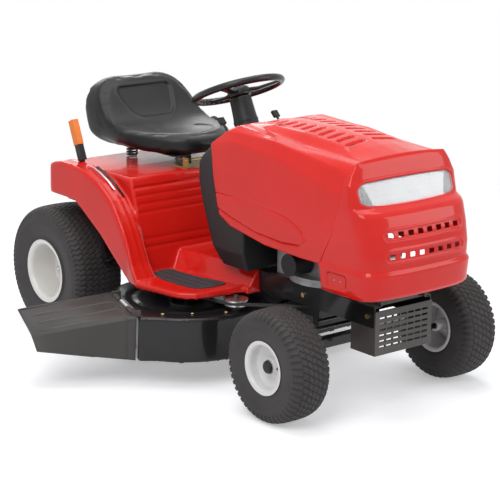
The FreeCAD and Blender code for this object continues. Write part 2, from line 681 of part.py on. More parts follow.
def hood_nose():
    """The nose cap: a hollow front with two rows of vents and a hinge boss at each side."""
    gap = val("part_gap")
    wall = val("hood_sheet") + 0.5
    half = val("nose_width") / 2
    outline = along_hood([(-1386 - gap, 840), (-1400, 832), (-1410, 782), (-1444, 701),
                          (-1484, 688), (-1506, 623), (-1524, 557), (-1500, 508), (-1496, 420),
                          (-1285, 417), (-1268 - gap, 500), (-1353 - gap, 701),
                          (-1374 - gap, 798)])
    plan = mirrored([(half, fore(-1200)), (half, fore(-1440)), (half - 14, fore(-1480)),
                     (half - 70, fore(-1530))])
    body = prism(outline, "x", -half, half).common(prism(plan, "z", 300, 900))
    body = body.common(prism(hood_section(half), "y", fore(-1600), fore(-1200)))
    inner = inset(outline, wall)
    inner[-1] = (inner[-1][0] + 60, inner[-1][1])
    inner[-2] = (inner[-2][0] + 60, inner[-2][1])
    inner[-3] = (inner[-3][0] + 80, inner[-3][1])
    inner[-4] = (inner[-4][0] + 60, 340)
    inner[-5] = (inner[-5][0], 340)
    inner[0] = (inner[0][0] + 60, inner[0][1])
    hollow = prism(inner, "x", wall - half, half - wall).common(
        prism(inset(plan, wall)[1:-1] + [(wall - half, fore(-1190)), (half - wall, fore(-1190))],
              "z", 300, 900))
    section = inset(hood_section(half), wall)
    section[0] = (section[0][0], 200)
    section[-1] = (section[-1][0], 200)
    body = body.cut(hollow.common(prism(section, "y", fore(-1600), fore(-1100))))
    lens_half = val("lens_width") / 2
    window = along_hood([(-1380, 784), (-1460, 784), (-1500, 699), (-1410, 699)])
    body = body.cut(prism(window, "x", -lens_half - gap, lens_half + gap))
    count = int(val("vent_count"))
    for z in (623, 557):
        for index in range(count):
            x = (index - (count - 1) / 2) * val("vent_pitch")
            body = body.cut(Part.makeBox(val("vent_width"), 120, val("vent_height"),
                                         Vector(x - val("vent_width") / 2, fore(-1560),
                                                z - val("vent_height") / 2)))
    radius = val("hood_hinge_radius")
    spot = Vector(-108, val("hood_hinge_y"), val("hood_hinge_z"))
    pin = Part.makeCylinder(radius, 216, spot, Vector(1, 0, 0))
    for side in (-1, 1):
        arm = Part.makeBox(6, 30, 60, Vector(side * 108 - 3, val("hood_hinge_y") - 15,
                                             val("hood_hinge_z") - 12))
        web = Part.makeBox(half - wall - 105, 30, 4,
                           Vector(105 if side > 0 else wall - half, val("hood_hinge_y") - 15,
                                  val("hood_hinge_z") + 40))
        body = body.fuse(arm).fuse(web)
    node(feature(body.fuse(pin)), "hood_nose")


def headlights():
    gap = val("part_gap")
    half = val("lens_width") / 2
    front = along_hood([(-1411, 783.5), (-1444.5, 699.5), (-1440, 699.5), (-1406, 783.5)])
    lens = prism(front, "x", -half, half)
    node(feature(lens), "headlight_lens")
    back = along_hood([(-1406 + gap, 783), (-1440 + gap, 700), (-1416, 700), (-1382, 783)])
    reflector = prism(back, "x", -half + 4, half - 4)
    for x in (-150, -75, 75, 150):
        cup = Part.makeCone(34, 12, 20, Vector(x, fore(-1424), 741), Vector(0, 0.93, 0.37))
        reflector = reflector.cut(cup)
    node(feature(reflector), "headlight_reflector")


hood_shell()
hood_nose()
headlights()


# ---------------------------------------------------------------- fender, running boards and mats
def open_below(outline, low_from, drop=90):
    """The outline one sheet inside, with its lower edge (from that corner on) moved down."""
    inner = inset(outline, val("fender_sheet"))
    return inner[:low_from] + [(y, z - drop) for y, z in inner[low_from:]]


def tunnel(shrink, low, rear, front):
    """The hump between the running boards, narrower towards the front, over the frame rails."""
    wires = []
    for y in (rear, front):
        foot = val("tunnel_foot") + (y - val("tunnel_rear")) * val("tunnel_taper")
        outline = [(foot - shrink, low), (foot - shrink, val("board_z") - shrink),
                   (foot - 40 - shrink, val("tunnel_z") - shrink)]
        outline += [(-x, z) for x, z in reversed(outline)]
        points = [Vector(x, y, z) for x, z in outline]
        wires.append(Part.makePolygon(points + points[:1]))
    return Part.makeLoft(wires, True, True)


def fender():
    board = val("board_z")
    seat = val("seat_deck_z")
    top = val("arch_top")
    skirt = board - 25
    arch = [(79, 535), (7, seat), (-55, top), (-204, top - 5), (-374, 570), (-450, 470), (-505, 360),
            (-545, board), (-800, board), (-812, skirt), (-560, skirt), (-483, 296), (-435, 331),
            (-307, 431), (-156, 523), (20, 530)]
    middle = [(79, 535), (7, seat), (-385, seat), (-405, 592), (-447, 453), (-462, 383),
              (-480, board), (-839, board), (-839, skirt), (-460, skirt), (-300, 440), (20, 530)]
    half = val("fender_width") / 2
    board_half = val("board_width") / 2
    recess = val("deck_recess_width") / 2
    plan = mirrored([(half, 100), (half, -480), (board_half, -545), (board_half - 18, -650),
                     (board_half - 35, -740), (board_half - 79, -788), (board_half - 128, -800),
                     (176, -815), (176, -839)])
    plan[0] = (half - 46, 100)
    plan[-1] = (46 - half, 100)
    plan = [plan[0], (half - 46, 78), (half, 5)] + plan[1:-1] + [(-half, 5), (46 - half, 78), plan[-1]]
    sheet = val("fender_sheet")
    aside = [(200, 0), (200, 900), (-900, 900), (-900, 0)]
    sides = prism(arch, "x", -board_half, board_half).cut(prism(aside, "x", -recess, recess))
    whole = sides.fuse(prism(middle, "x", -recess, recess)).common(prism(plan, "z", 200, 800))
    whole = whole.fuse(tunnel(0, board - 0.5, val("tunnel_rear"), -839))
    inner_arch = prism(open_below(arch, 9), "x", -board_half, board_half)
    beyond = recess + sheet
    beside = inner_arch.cut(prism(aside, "x", -beyond, beyond))
    below = open_below(middle, 8)
    shared = inner_arch.common(prism(below, "x", -beyond, beyond))
    inner = beside.fuse(prism(below, "x", sheet - recess, recess - sheet)).fuse(shared)
    inner = inner.common(prism(inset(plan, sheet), "z", 0, 800))
    inner = inner.fuse(tunnel(sheet, 200, val("tunnel_rear") + 25, -864))
    shell = whole.cut(inner)
    slot = val("slot_width")
    shell = shell.cut(Part.makeBox(slot, 290, 200, Vector(val("lift_x") - slot / 2, -388, 500)))
    shell = shell.cut(Part.makeBox(slot, 150, 40, Vector(val("shift_x") - slot / 2, -125, seat - 20)))
    shell = shell.cut(Part.makeCylinder(24, 60, Vector(0, -800, val("tunnel_z") - 30)))
    node(feature(max(shell.Solids, key=lambda solid: solid.Volume)), "fender")


def foot_mats():
    outer = val("mat_outer")
    inner = val("mat_inner")
    outline = [(outer, -490), (inner, -490), (inner - 6, -610), (inner - 48, -752),
               (outer - 40, -762), (outer, -715)]
    mats = [prism([(side * x, y) for x, y in outline], "z", val("board_z"),
                  val("board_z") + val("mat_sheet")) for side in (-1, 1)]
    node(feature(Part.makeCompound(mats)), "foot_mats")


def fender_supports(*brackets):
    """Posts from the rails to the seat deck, arms under the running boards, and brackets."""
    bars = list(brackets)
    rail_top = "rail_bottom + rail_height"
    under = "seat_deck_z - fender_sheet"
    for side in (-1, 1):
        x = f"{side} * (frame_width / 2 - 14)"
        bars.append(mid_box((x, "-200", f"({rail_top} + {under}) / 2"),
                            ("28", "36", f"{under} - ({rail_top}) - 0.02")))
        span = "board_width / 2 - 40 - frame_width / 2"
        for y in ("-520", "-690"):
            bars.append(mid_box((f"{side} * (frame_width / 2 + ({span}) / 2 + 0.01)", y,
                                 "board_z - fender_sheet - 5.01"), (span, "24", "10")))
    node(group(*bars), "fender_supports")


fender()
foot_mats()


# ---------------------------------------------------------------- seat
def seat():
    half = val("seat_width") / 2
    base = val("seat_base_z")
    outline = [(-390, 0), (-412, 32), (-404, 62), (-360, 76), (-270, 67), (-130, 70), (-72, 103),
               (-2, 194), (34, 231), (74, 236), (103, 215), (88, 110), (48, 26), (-50, 0)]
    outline = [(y, base + rise) for y, rise in outline]
    front = mirrored([(half - 70, base), (half - 8, base + 15), (half, base + 55),
                      (half - 6, base + 110), (half - 18, base + 155), (half - 42, base + 190),
                      (half - 80, base + 218), (half - 140, base + 236)])
    plan = mirrored([(half - 24, 110), (half, 50), (half, -190), (half - 16, -262),
                     (half - 58, -330), (half - 120, -382), (half - 190, -412)])
    cushion = prism(outline, "x", -half, half).common(prism(front, "y", -600, 300))
    node(feature(cushion.common(prism(plan, "z", base - 90, base + 310))), "seat_cushion")

    pan_z = "seat_base_z - part_gap - seat_pan_sheet / 2"
    pan = mid_box(("0", "-197", pan_z), ("seat_pan_width", "314", "seat_pan_sheet"))
    ears = [mid_box((f"{side} * 60", "seat_pivot_y + 8", "(seat_pivot_z + seat_base_z) / 2 - 7"),
                    ("6", "34", "seat_base_z - seat_pivot_z + 6")) for side in (-1, 1)]
    bore = mid_rod(("0", "seat_pivot_y", "seat_pivot_z"), "5 + running_clearance", "200", "x")
    node(cut(fuse(pan, *ears), bore), "seat_pan")

    bracket_z = "seat_deck_z + 2.01"
    base_plate = mid_box(("0", "seat_pivot_y + 22", bracket_z), ("180", "100", "4"))
    lugs = [mid_box((f"{side} * 74", "seat_pivot_y", "(seat_pivot_z + seat_deck_z) / 2 + 6"),
                    ("6", "30", "seat_pivot_z - seat_deck_z + 12")) for side in (-1, 1)]
    pin = mid_rod(("0", "seat_pivot_y", "seat_pivot_z"), "5", "160", "x")
    node(fuse(base_plate, *lugs, pin), "seat_bracket")

    springs = []
    turns = 4
    low = val("seat_deck_z") + val("part_gap") + val("spring_wire")
    high = val("seat_base_z") - val("part_gap") - val("seat_pan_sheet") - val("spring_wire")
    pitch = (high - low) / turns
    for side in (-1, 1):
        helix = Part.makeHelix(pitch, high - low, val("spring_radius"))
        circle = Part.Wire(Part.makeCircle(val("spring_wire"), Vector(val("spring_radius"), 0, 0),
                                           Vector(0, 1, 0)))
        spring = Part.Wire(helix).makePipeShell([circle], True, True)
        spring.translate(Vector(side * val("spring_x"), val("spring_y"), low))
        springs.append(spring)
    node(feature(Part.makeCompound(springs)), "seat_springs")


seat()


# ---------------------------------------------------------------- levers, pedal and key
def leaning(shape, pivot, lean):
    """Turns a shape drawn upright on the origin about X and sets it on its pivot."""
    shape.rotate(Vector(), Vector(1, 0, 0), -lean)
    shape.translate(pivot)
    return shape


def lift_lever():
    pivot = Vector(val("lift_x"), val("lift_pivot_y"), val("lift_pivot_z"))
    lean = val("lift_lean")
    sheet = val("lift_sheet")
    grip = val("grip_length")
    width = val("lift_width")
    radius = val("grip_radius")
    tilt = math.radians(lean)
    rise = val("arch_top") + val("part_gap") + radius * math.sin(tilt) - pivot.z
    sleeve_foot = rise / math.cos(tilt)
    length = sleeve_foot + val("sleeve_length") + val("part_gap") + grip
    bar = Part.makeBox(sheet, width, length - grip / 2, Vector(-sheet / 2, -width / 2, 0))
    hub = Part.makeCylinder(17, 16, Vector(-8, 0, 0), Vector(1, 0, 0))
    handle = Part.makeBox(2 * radius - 6, 2 * radius, grip,
                          Vector(3 - radius, -radius, length - grip))
    room = Part.makeBox(sheet + 0.2, width + 0.2, grip, Vector(-sheet / 2 - 0.1, -width / 2 - 0.1,
                                                              length - 1.5 * grip + 0.1))
    node(feature(leaning(handle.cut(room), pivot, lean)), "lift_lever_grip")
    sleeve = Part.makeBox(2 * radius - 8, 2 * radius - 4, val("sleeve_length"),
                          Vector(4 - radius, 2 - radius, sleeve_foot))
    hole = Part.makeBox(sheet + 0.2, width + 0.2, length, Vector(-sheet / 2 - 0.1, -width / 2 - 0.1, 0))
    node(feature(leaning(sleeve.cut(hole), pivot, lean)), "lift_lever_sleeve")
    shaft = Part.makeCylinder(val("lift_shaft_radius"), abs(pivot.x) - val("frame_width") / 2 + 30,
                              Vector(-12, 0, 0), Vector(1, 0, 0))
    node(feature(leaning(bar.fuse(hub).fuse(shaft), pivot, lean)), "lift_lever")


def shift_lever():
    pivot = Vector(val("shift_x"), val("shift_pivot_y"), val("shift_pivot_z"))
    length = val("shift_length")
    stem = Part.makeCylinder(val("shift_rod_radius"), length, Vector(), Vector(0, 0, 1))
    hub = Part.makeCylinder(13, 14, Vector(-7, 0, 0), Vector(1, 0, 0))
    bore = Part.makeCylinder(6 + val("running_clearance"), 40, Vector(-20, 0, 0), Vector(1, 0, 0))
    node(feature(leaning(stem.fuse(hub).cut(bore), pivot, 0)), "shift_lever")
    knob = Part.makeSphere(val("knob_radius"), Vector(0, 0, length + 14))
    hole = Part.makeCylinder(val("shift_rod_radius") + 0.1, 40, Vector(0, 0, length - 39.9))
    node(feature(leaning(knob.cut(hole), pivot, 0)), "shift_knob")
    drop = val("seat_deck_z") - val("fender_sheet") - pivot.z - 0.01
    pin = Part.makeCylinder(6, 34, pivot - Vector(17, 0, 0), Vector(1, 0, 0))
    ears = [Part.makeBox(6, 30, drop + 10, Vector(pivot.x + side * 12 - 3, pivot.y - 15, pivot.z - 10))
            for side in (-1, 1)]
    return feature(pin.fuse(ears[0]).fuse(ears[1]))


def dash_controls():
    """Two levers and a key on the sloping face of the dash."""
    foot = Vector(0, -658, 774)
    along = (Vector(0, -704, 821) - foot).normalize()
    out = Vector(0, -along.z, along.y) * -1
    if out.y < 0:
        out = out * -1
    for name, x in (("throttle_lever", -val("dash_lever_x")), ("blade_lever", val("dash_lever_x"))):
        centre = foot + along * 30 + out * (12.3) + Vector(x, 0, 0)
        hub = Part.makeCylinder(12, 16, centre - Vector(8, 0, 0), Vector(1, 0, 0))
        tip = centre + out * 70
        stem = Part.makeCylinder(4, 70, centre, out)
        paddle = Part.makeBox(24, 10, 26, Vector(-12, -5, -13))
        paddle.rotate(Vector(), Vector(1, 0, 0), math.degrees(math.atan2(-out.y, out.z)))
        paddle.translate(tip)
        node(feature(hub.fuse(stem).fuse(paddle)), name)
    spot = foot + along * 30 + out * val("part_gap") + Vector(60, 0, 0)
    barrel = Part.makeCylinder(11, 8, spot, out)
    blade = Part.makeBox(3, 18, 24, Vector(-1.5, -9, 7))
    blade.rotate(Vector(), Vector(1, 0, 0), math.degrees(math.atan2(-out.y, out.z)))
    blade.translate(spot)
    node(feature(barrel.fuse(blade)), "ignition_key")


def brake_pedal():
    pivot = Vector(val("dash_width") / 2 + val("part_gap"), val("pedal_y"), val("pedal_z"))
    hub = Part.makeCylinder(16, 14, pivot, Vector(1, 0, 0))
    arm = prism([(pivot.y - 8, pivot.z + 10), (pivot.y + 8, pivot.z - 10), (pivot.y - 68, 412),
                 (pivot.y - 84, 426)], "x", pivot.x + 3, pivot.x + 11)
    bore = Part.makeCylinder(val("pedal_pin_radius") + val("running_clearance"), 40,
                             pivot - Vector(20, 0, 0), Vector(1, 0, 0))
    pad = Part.makeBox(84, 66, 7, Vector(pivot.x + 1, -33, -3.5))
    pad.rotate(Vector(), Vector(1, 0, 0), 48)
    pad.translate(Vector(0, pivot.y - 78, 418))
    node(feature(hub.fuse(arm).fuse(pad).cut(bore)), "brake_pedal")


lift_lever()
fender_supports(shift_lever())
dash_controls()
brake_pedal()


# ---------------------------------------------------------------- engine bay, battery and transaxle
def engine():
    base = "rail_bottom + rail_height + engine_plate"
    block = mid_box(("0", "engine_y", f"{base} + engine_height / 2"),
                    ("engine_width", "engine_length", "engine_height"))
    sump = rod(("0", "engine_y - 40", base), "engine_length / 2 + 22", "24")
    head = mid_box(("engine_width / 2 - 70", "engine_y - engine_length / 2 - 20",
                    f"{base} + engine_height / 2"), ("110", "60", "engine_height - 20"))
    crank = rod(("0", "engine_y", f"{base} - 1"), "12.5 + running_clearance", "36")
    node(cut(fuse(block, sump, head), crank), "engine_block")

    top = f"{base} + engine_height"
    drum = rod(("0", "engine_y", top), "shroud_radius", "shroud_height")
    room = rod(("0", "engine_y", f"{top} - 1"), "shroud_radius - 3", "shroud_height - 2")
    grille = [mid_box((str(x), "engine_y", f"{top} + shroud_height"), ("6", "150", "20"))
              for x in range(-60, 61, 20)]
    node(cut(drum, room, *grille), "blower_housing")

    filter_x = "-engine_width / 2 - filter_length / 2 - seat_gap"
    node(group(mid_rod((filter_x, "engine_y - 25", f"{base} + 68"), "filter_radius",
                       "filter_length", "x")), "oil_filter")
    muffler_y = "engine_y - engine_length / 2 - muffler_radius - 52"
    can = mid_rod(("0", muffler_y, f"{base} + engine_height"), "muffler_radius", "muffler_length", "x")
    pipe = mid_box(("engine_width / 2 - 70", "engine_y - engine_length / 2 - 76",
                    f"{base} + engine_height / 2 + 10"), ("30", "51.9", "60"))
    node(fuse(can, pipe), "muffler")

    shelf_z = f"{top} + shroud_height + 1"
    shelf_front = "(tank_y - tank_length / 2)"
    shelf = mid_box(("0", f"({shelf_front} + dash_front - part_gap) / 2", f"{shelf_z} + 1.5"),
                    ("tank_width - 60", f"dash_front - part_gap - {shelf_front}", "3"))
    tank = mid_box(("0", "tank_y", f"{shelf_z} + 3 + tank_height / 2"),
                   ("tank_width", "tank_length", "tank_height"))
    neck = rod(("0", "tank_y", f"{shelf_z} + 3 + tank_height - 2"), "34", "22")
    node(group(fuse(tank, neck), shelf), "fuel_tank")


def battery_and_transaxle():
    tray_top = "rail_bottom + rail_height + battery_tray"
    case = mid_box(("0", "battery_y", f"{tray_top} + battery_height / 2"),
                   ("battery_width", "battery_length", "battery_height"))
    posts = [rod((f"{side} * 40", "battery_y + 70", f"{tray_top} + battery_height - 1"), "8", "16")
             for side in (-1, 1)]
    node(fuse(case, *posts), "battery")

    case = mid_box(("0", "0", "rear_tyre_radius"),
                   ("transaxle_width", "transaxle_length", "transaxle_height"))
    tubes = mid_rod(("0", "0", "rear_tyre_radius"), "axle_tube_radius", "2 * axle_tube_end", "x")
    bores = [mid_rod((f"{side} * (axle_tube_end - 20)", "0", "rear_tyre_radius"),
                     "shaft_radius + running_clearance", "90", "x") for side in (-1, 1)]
    saddles = [mid_box((f"{side} * (frame_width / 2 - 13)", "0",
                        "(rear_tyre_radius + rail_bottom) / 2 - 0.01"),
                       ("26", "60", "rail_bottom - rear_tyre_radius")) for side in (-1, 1)]
    node(cut(fuse(case, tubes, *saddles), *bores), "transaxle")


engine()
battery_and_transaxle()


# ---------------------------------------------------------------- mower deck
HINGE_FRONT = Vector(-548, -720, 0)
HINGE_REAR = Vector(-445, -429, 0)
HINGE_ALONG = (HINGE_REAR - HINGE_FRONT).normalize()
HINGE_OUT = Vector(-HINGE_ALONG.y, HINGE_ALONG.x, 0)


def spindle_spots():
    return ((-val("spindle_x"), val("spindle_y_right")), (val("spindle_x"), val("spindle_y_left")))


def deck_solid(shrink, low, high):
    radius = val("deck_radius") - shrink
    body = slab_hull([(x, y, radius) for x, y in spindle_spots()], low, high)
    corner = [(HINGE_FRONT.x + shrink, HINGE_FRONT.y + shrink), (-484, -769 + shrink),
              (-380, -840 + shrink), (-300, -800), (-300, -429 - shrink),
              (HINGE_REAR.x, HINGE_REAR.y - shrink)]
    return body.fuse(prism(corner, "z", low, high))


def deck_shell():
    low = val("deck_low")
    top = val("deck_top")
    sheet = val("deck_sheet")
    beyond = HINGE_OUT * 400
    outside = [HINGE_FRONT - HINGE_ALONG * 300, HINGE_REAR + HINGE_ALONG * 300]
    side = [(point.x, point.y) for point in
            (outside[0], outside[1], outside[1] + beyond, outside[0] + beyond)]
    beyond_line = prism(side, "z", -10, 600)
    shell = deck_solid(0, low, top).cut(beyond_line)
    shell = shell.cut(deck_solid(sheet, low - 10, top - sheet))
    mouth = HINGE_FRONT + HINGE_ALONG * 34 - HINGE_OUT * 60
    mouth_far = HINGE_REAR - HINGE_ALONG * 34 - HINGE_OUT * 60
    opening = [(mouth.x, mouth.y), (mouth_far.x, mouth_far.y),
               (mouth_far.x + HINGE_OUT.x * 90, mouth_far.y + HINGE_OUT.y * 90),
               (mouth.x + HINGE_OUT.x * 90, mouth.y + HINGE_OUT.y * 90)]
    shell = shell.cut(prism(opening, "z", low - 5, top - 18))
    for x, y in spindle_spots():
        shell = shell.cut(Part.makeCylinder(24, 60, Vector(x, y, top - 30)))
    node(feature(max(shell.Solids, key=lambda solid: solid.Volume)), "deck_shell")


def spindle_housings():
    top = val("deck_top")
    housings = []
    for x, y in spindle_spots():
        tall = Part.makeCone(val("housing_radius"), 22, val("housing_height"), Vector(x, y, top))
        bore = Part.makeCylinder(val("blade_shaft_radius") + val("running_clearance"), 60,
                                 Vector(x, y, top - 10))
        housings.append(tall.cut(bore))
    post = Part.makeCylinder(16, val("belt_z") - val("pulley_height") / 2 - top - val("part_gap"),
                             Vector(val("idler_x"), val("idler_y"), top))
    stud = Part.makeCylinder(8, val("belt_z") + 22 - top, Vector(val("idler_x"), val("idler_y"), top))
    housings.append(post.fuse(stud))
    return housings


def pulley(x, y, rim_radius, bore):
    """A flat-groove belt pulley about a vertical axis, centred on the belt."""
    low = val("belt_z") - val("pulley_height") / 2
    body = Part.makeCylinder(rim_radius, val("pulley_height"), Vector(x, y, low))
    ring = Part.makeCylinder(rim_radius + 5, val("belt_width"),
                             Vector(x, y, val("belt_z") - val("belt_width") / 2))
    core = Part.makeCylinder(rim_radius - val("belt_depth"), val("belt_width"),
                             Vector(x, y, val("belt_z") - val("belt_width") / 2))
    body = body.cut(ring.cut(core))
    if bore:
        body = body.cut(Part.makeCylinder(bore, 100, Vector(x, y, low - 40)))
    return body


def blades():
    top = val("belt_z") + 18
    low = val("blade_z") - 12
    for (name, side), (x, y) in zip(SIDES, spindle_spots()):
        shaft = Part.makeCylinder(val("blade_shaft_radius"), top - low, Vector(x, y, low))
        blade = Part.makeBox(2 * val("blade_radius"), val("blade_width"), val("blade_sheet"),
                             Vector(x - val("blade_radius"), y - val("blade_width") / 2,
                                    val("blade_z") - val("blade_sheet") / 2))
        collar = Part.makeCylinder(20, val("deck_top") - 34 - val("blade_z"),
                                   Vector(x, y, val("blade_z")))
        wheel = pulley(x, y, val("pulley_radius"), 0)
        node(feature(shaft.fuse(blade).fuse(collar).fuse(wheel)), f"blade_and_spindle_{name}")


def belt_drive():
    crank_top = val("rail_bottom") + val("rail_height") + val("engine_plate") + 30
    low = val("belt_z") - val("pulley_height") / 2
    shaft = Part.makeCylinder(12.5, crank_top - low, Vector(0, val("engine_y"), low))
    wheel = pulley(0, val("engine_y"), val("engine_pulley_radius"), 0)
    node(feature(wheel.fuse(shaft)), "engine_pulley")
    idler = pulley(val("idler_x"), val("idler_y"), val("idler_radius"),
                   8 + val("running_clearance"))
    node(feature(idler), "idler_pulley")
    spots = [(x, y, val("pulley_radius")) for x, y in spindle_spots()]
    spots += [(0, val("engine_y"), val("engine_pulley_radius")),
              (val("idler_x"), val("idler_y"), val("idler_radius"))]
    half = val("belt_width") / 2 - val("part_gap")
    depth = val("belt_depth") - val("part_gap")
    loop = slab_hull(spots, val("belt_z") - half, val("belt_z") + half)
    inner = [(x, y, radius - depth) for x, y, radius in spots]
    loop = loop.cut(slab_hull(inner, val("belt_z") - half - 1, val("belt_z") + half + 1))
    node(feature(loop), "blade_belt")


def deck_hangers():
    """Front lift rods to the frame's slotted ears, and rear plates beside the rails."""
    top = val("deck_top")
    reach = val("frame_width") / 2 - val("rail_sheet") - val("part_gap")
    radius = val("hanger_radius")
    rods = Part.makeCylinder(radius, 2 * reach, Vector(-reach, val("hanger_y"), top + 9), Vector(1, 0, 0))
    for side in (-1, 1):
        x = side * val("hanger_x")
        bar = Part.makeCylinder(radius - 0.5, -835 - val("hanger_y"), Vector(x, val("hanger_y"), top + 9),
                                Vector(0, 1, 0))
        lug = Part.makeBox(12, 24, 16, Vector(x - 6, -846, top))
        rods = rods.fuse(bar).fuse(lug)
    parts = [rods]
    for side in (-1, 1):
        x = side * (val("frame_width") / 2 + val("part_gap"))
        plate = Part.makeBox(5, 34, 86, Vector(x + side * 22 - 2.5, -417, top))
        pin = Part.makeCylinder(6, 26, Vector(x, -400, top + 74), Vector(side, 0, 0))
        parts.append(plate.fuse(pin))
    node(feature(Part.makeCompound(parts)), "deck_hangers")


deck_shell()
blades()
belt_drive()
deck_hangers()


# ---------------------------------------------------------------- discharge chute
def chute_axis_point():
    return HINGE_FRONT + HINGE_OUT * 10 + Vector(0, 0, val("deck_top") + 9)


def hinge_lugs(margin):
    """The two blocks that hold the hinge pin on the deck, or the room they need in the chute."""
    lugs = []
    length = (HINGE_REAR - HINGE_FRONT).Length
    turn = math.degrees(math.atan2(HINGE_ALONG.y, HINGE_ALONG.x)) - 90
    for place in (0.06, 0.88):
        lug = Part.makeBox(30 + 2 * margin, 12 + 2 * margin, 20 + 2 * margin + margin * 8,
                           Vector(-14 - margin, -6 - margin, -margin * 9))
        lug.rotate(Vector(), Vector(0, 0, 1), turn)
        spot = chute_axis_point() + HINGE_ALONG * (length * place)
        lug.translate(Vector(spot.x, spot.y, val("deck_top")) - HINGE_OUT * 6)
        lugs.append(lug)
    return lugs


def chute():
    sheet = val("chute_sheet")
    up = Vector(0, 0, 1)
    reach = HINGE_FRONT.x - 8 - val("chute_reach") + 102
    start = HINGE_OUT * 4
    lift = up * (val("deck_top") + 3)
    rear = HINGE_REAR + start + lift - HINGE_ALONG * 2
    front = HINGE_FRONT + start + lift + HINGE_ALONG * 2
    foot = HINGE_FRONT + start + up * val("deck_low") + HINGE_ALONG * 22
    near = [rear, front, foot, foot + HINGE_ALONG * sheet, front + HINGE_ALONG * sheet - up * sheet,
            rear - up * sheet]
    far = [Vector(reach, -402, 250), Vector(reach, -492, 180), Vector(reach, -524, 130),
           Vector(reach, -524 + sheet * 1.2, 130 - 1), Vector(reach, -492 + sheet, 180 - sheet),
           Vector(reach, -402, 250 - sheet * 1.3)]
    wires = [Part.makePolygon(points + points[:1]) for points in (near, far)]
    body = Part.makeLoft(wires, True, True)
    radius = val("chute_knuckle_radius")
    start = chute_axis_point()
    length = (HINGE_REAR - HINGE_FRONT).Length
    for place in (0.1, 0.62):
        knuckle = Part.makeCylinder(radius, length * 0.22, start + HINGE_ALONG * (length * place),
                                    HINGE_ALONG)
        body = body.fuse(knuckle)
    for lug in hinge_lugs(2):
        body = body.cut(lug)
    bore = Part.makeCylinder(val("chute_pin_radius") + val("running_clearance"), 400,
                             start - HINGE_ALONG * 40, HINGE_ALONG)
    node(feature(body.cut(bore)), "discharge_chute")

    pin = Part.makeCylinder(val("chute_pin_radius"), length * 0.92, start + HINGE_ALONG * (length * 0.04),
                            HINGE_ALONG)
    parts = pin
    for lug in hinge_lugs(0):
        parts = parts.fuse(lug)
    coil = Part.makeCylinder(radius - 2.6, length * 0.26, start + HINGE_ALONG * (length * 0.34), HINGE_ALONG)
    room = Part.makeCylinder(radius - 3.9, length, start, HINGE_ALONG)
    fittings = spindle_housings() + [parts, coil.cut(room)]
    node(feature(Part.makeCompound(fittings)), "deck_fittings")


chute()


# ---------------------------------------------------------------- fasteners and wiring
def frame_bolts():
    heads = []
    mid_z = "rail_bottom + rail_height / 2"
    for side in (-1, 1):
        x = f"{side} * (frame_width + bolt_head) / 2"
        for y in ("rail_front + 30", "hanger_y + 60", "-720", "-330", "0"):
            heads.append(mid_rod((x, y, mid_z), "bolt_head_radius", "bolt_head - 0.02", "x"))
    node(group(*heads), "frame_bolts")


def wiring():
    low = val("rail_bottom") + val("rail_height") + val("engine_plate")
    half = val("engine_width") / 2
    rear = val("engine_y") + val("engine_length") / 2
    wires = []
    for z, x in ((92, -64), (74, -40)):
        points = [Vector(x, -866.2, low + z), Vector(x, -888, low + z), Vector(x - 24, -900, low + z - 20),
                  Vector(x - 24, rear + 0.2, low + z - 20)]
        wires.append(path_tube(points, 3, 9))
    node(feature(Part.makeCompound(wires)), "wiring")


frame_bolts()
wiring()


# ---------------------------------------------------------------- checks, origin and files
DOC.recompute()
for obj in DOC.Objects:
    if "Invalid" in obj.State or "Error" in obj.State:
        raise RuntimeError(f"{obj.Label} did not recompute: {obj.State}")
for obj in NODES:
    if obj.Shape.isNull() or not obj.Shape.isValid():
        raise RuntimeError(f"{obj.Label} has no valid shape")

whole = FreeCAD.BoundBox()
for obj in NODES:
    whole.add(obj.Shape.optimalBoundingBox(False, False))
ORIGIN = Vector((whole.XMin + whole.XMax) / 2, (whole.YMin + whole.YMax) / 2, whole.ZMin)
for obj in NODES:
    obj.Placement = Placement(-ORIGIN, Rotation()) * obj.Placement

os.makedirs("parts", exist_ok=True)
for obj in NODES:
    obj.Shape.exportStep(f"parts/{obj.Label}.step")
print(f"{len(NODES)} nodes; the ground point under the rear axle was moved by {-ORIGIN}")
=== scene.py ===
import json
import math
from contextlib import contextmanager

import bmesh
import bpy
import numpy as np
from mathutils import Matrix, Vector


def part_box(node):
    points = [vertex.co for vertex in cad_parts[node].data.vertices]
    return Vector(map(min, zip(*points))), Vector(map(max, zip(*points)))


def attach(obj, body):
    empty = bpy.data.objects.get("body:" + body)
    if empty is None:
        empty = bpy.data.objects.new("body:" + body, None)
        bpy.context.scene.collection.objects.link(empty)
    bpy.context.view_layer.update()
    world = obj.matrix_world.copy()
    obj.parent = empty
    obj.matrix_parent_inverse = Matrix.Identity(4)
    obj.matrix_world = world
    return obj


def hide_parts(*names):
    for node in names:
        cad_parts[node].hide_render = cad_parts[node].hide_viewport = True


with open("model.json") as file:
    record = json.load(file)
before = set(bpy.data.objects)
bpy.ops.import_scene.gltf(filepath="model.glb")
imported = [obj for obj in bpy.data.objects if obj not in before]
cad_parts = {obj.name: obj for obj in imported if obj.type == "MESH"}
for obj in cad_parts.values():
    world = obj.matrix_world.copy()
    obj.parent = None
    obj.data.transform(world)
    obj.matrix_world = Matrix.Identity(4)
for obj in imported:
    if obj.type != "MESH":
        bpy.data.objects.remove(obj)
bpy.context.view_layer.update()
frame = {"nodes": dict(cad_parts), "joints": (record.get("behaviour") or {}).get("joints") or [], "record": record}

# Places are written in millimetres from the point on the ground under the middle of the rear
# axle, as in the part's source; P() turns them into the frame's metres.
JOINTS = {j["name"]: j for j in frame["joints"]}
REAR_RIGHT = JOINTS["rear_wheel_right_spin"]["pos_m"]
REAR_LEFT = JOINTS["rear_wheel_left_spin"]["pos_m"]
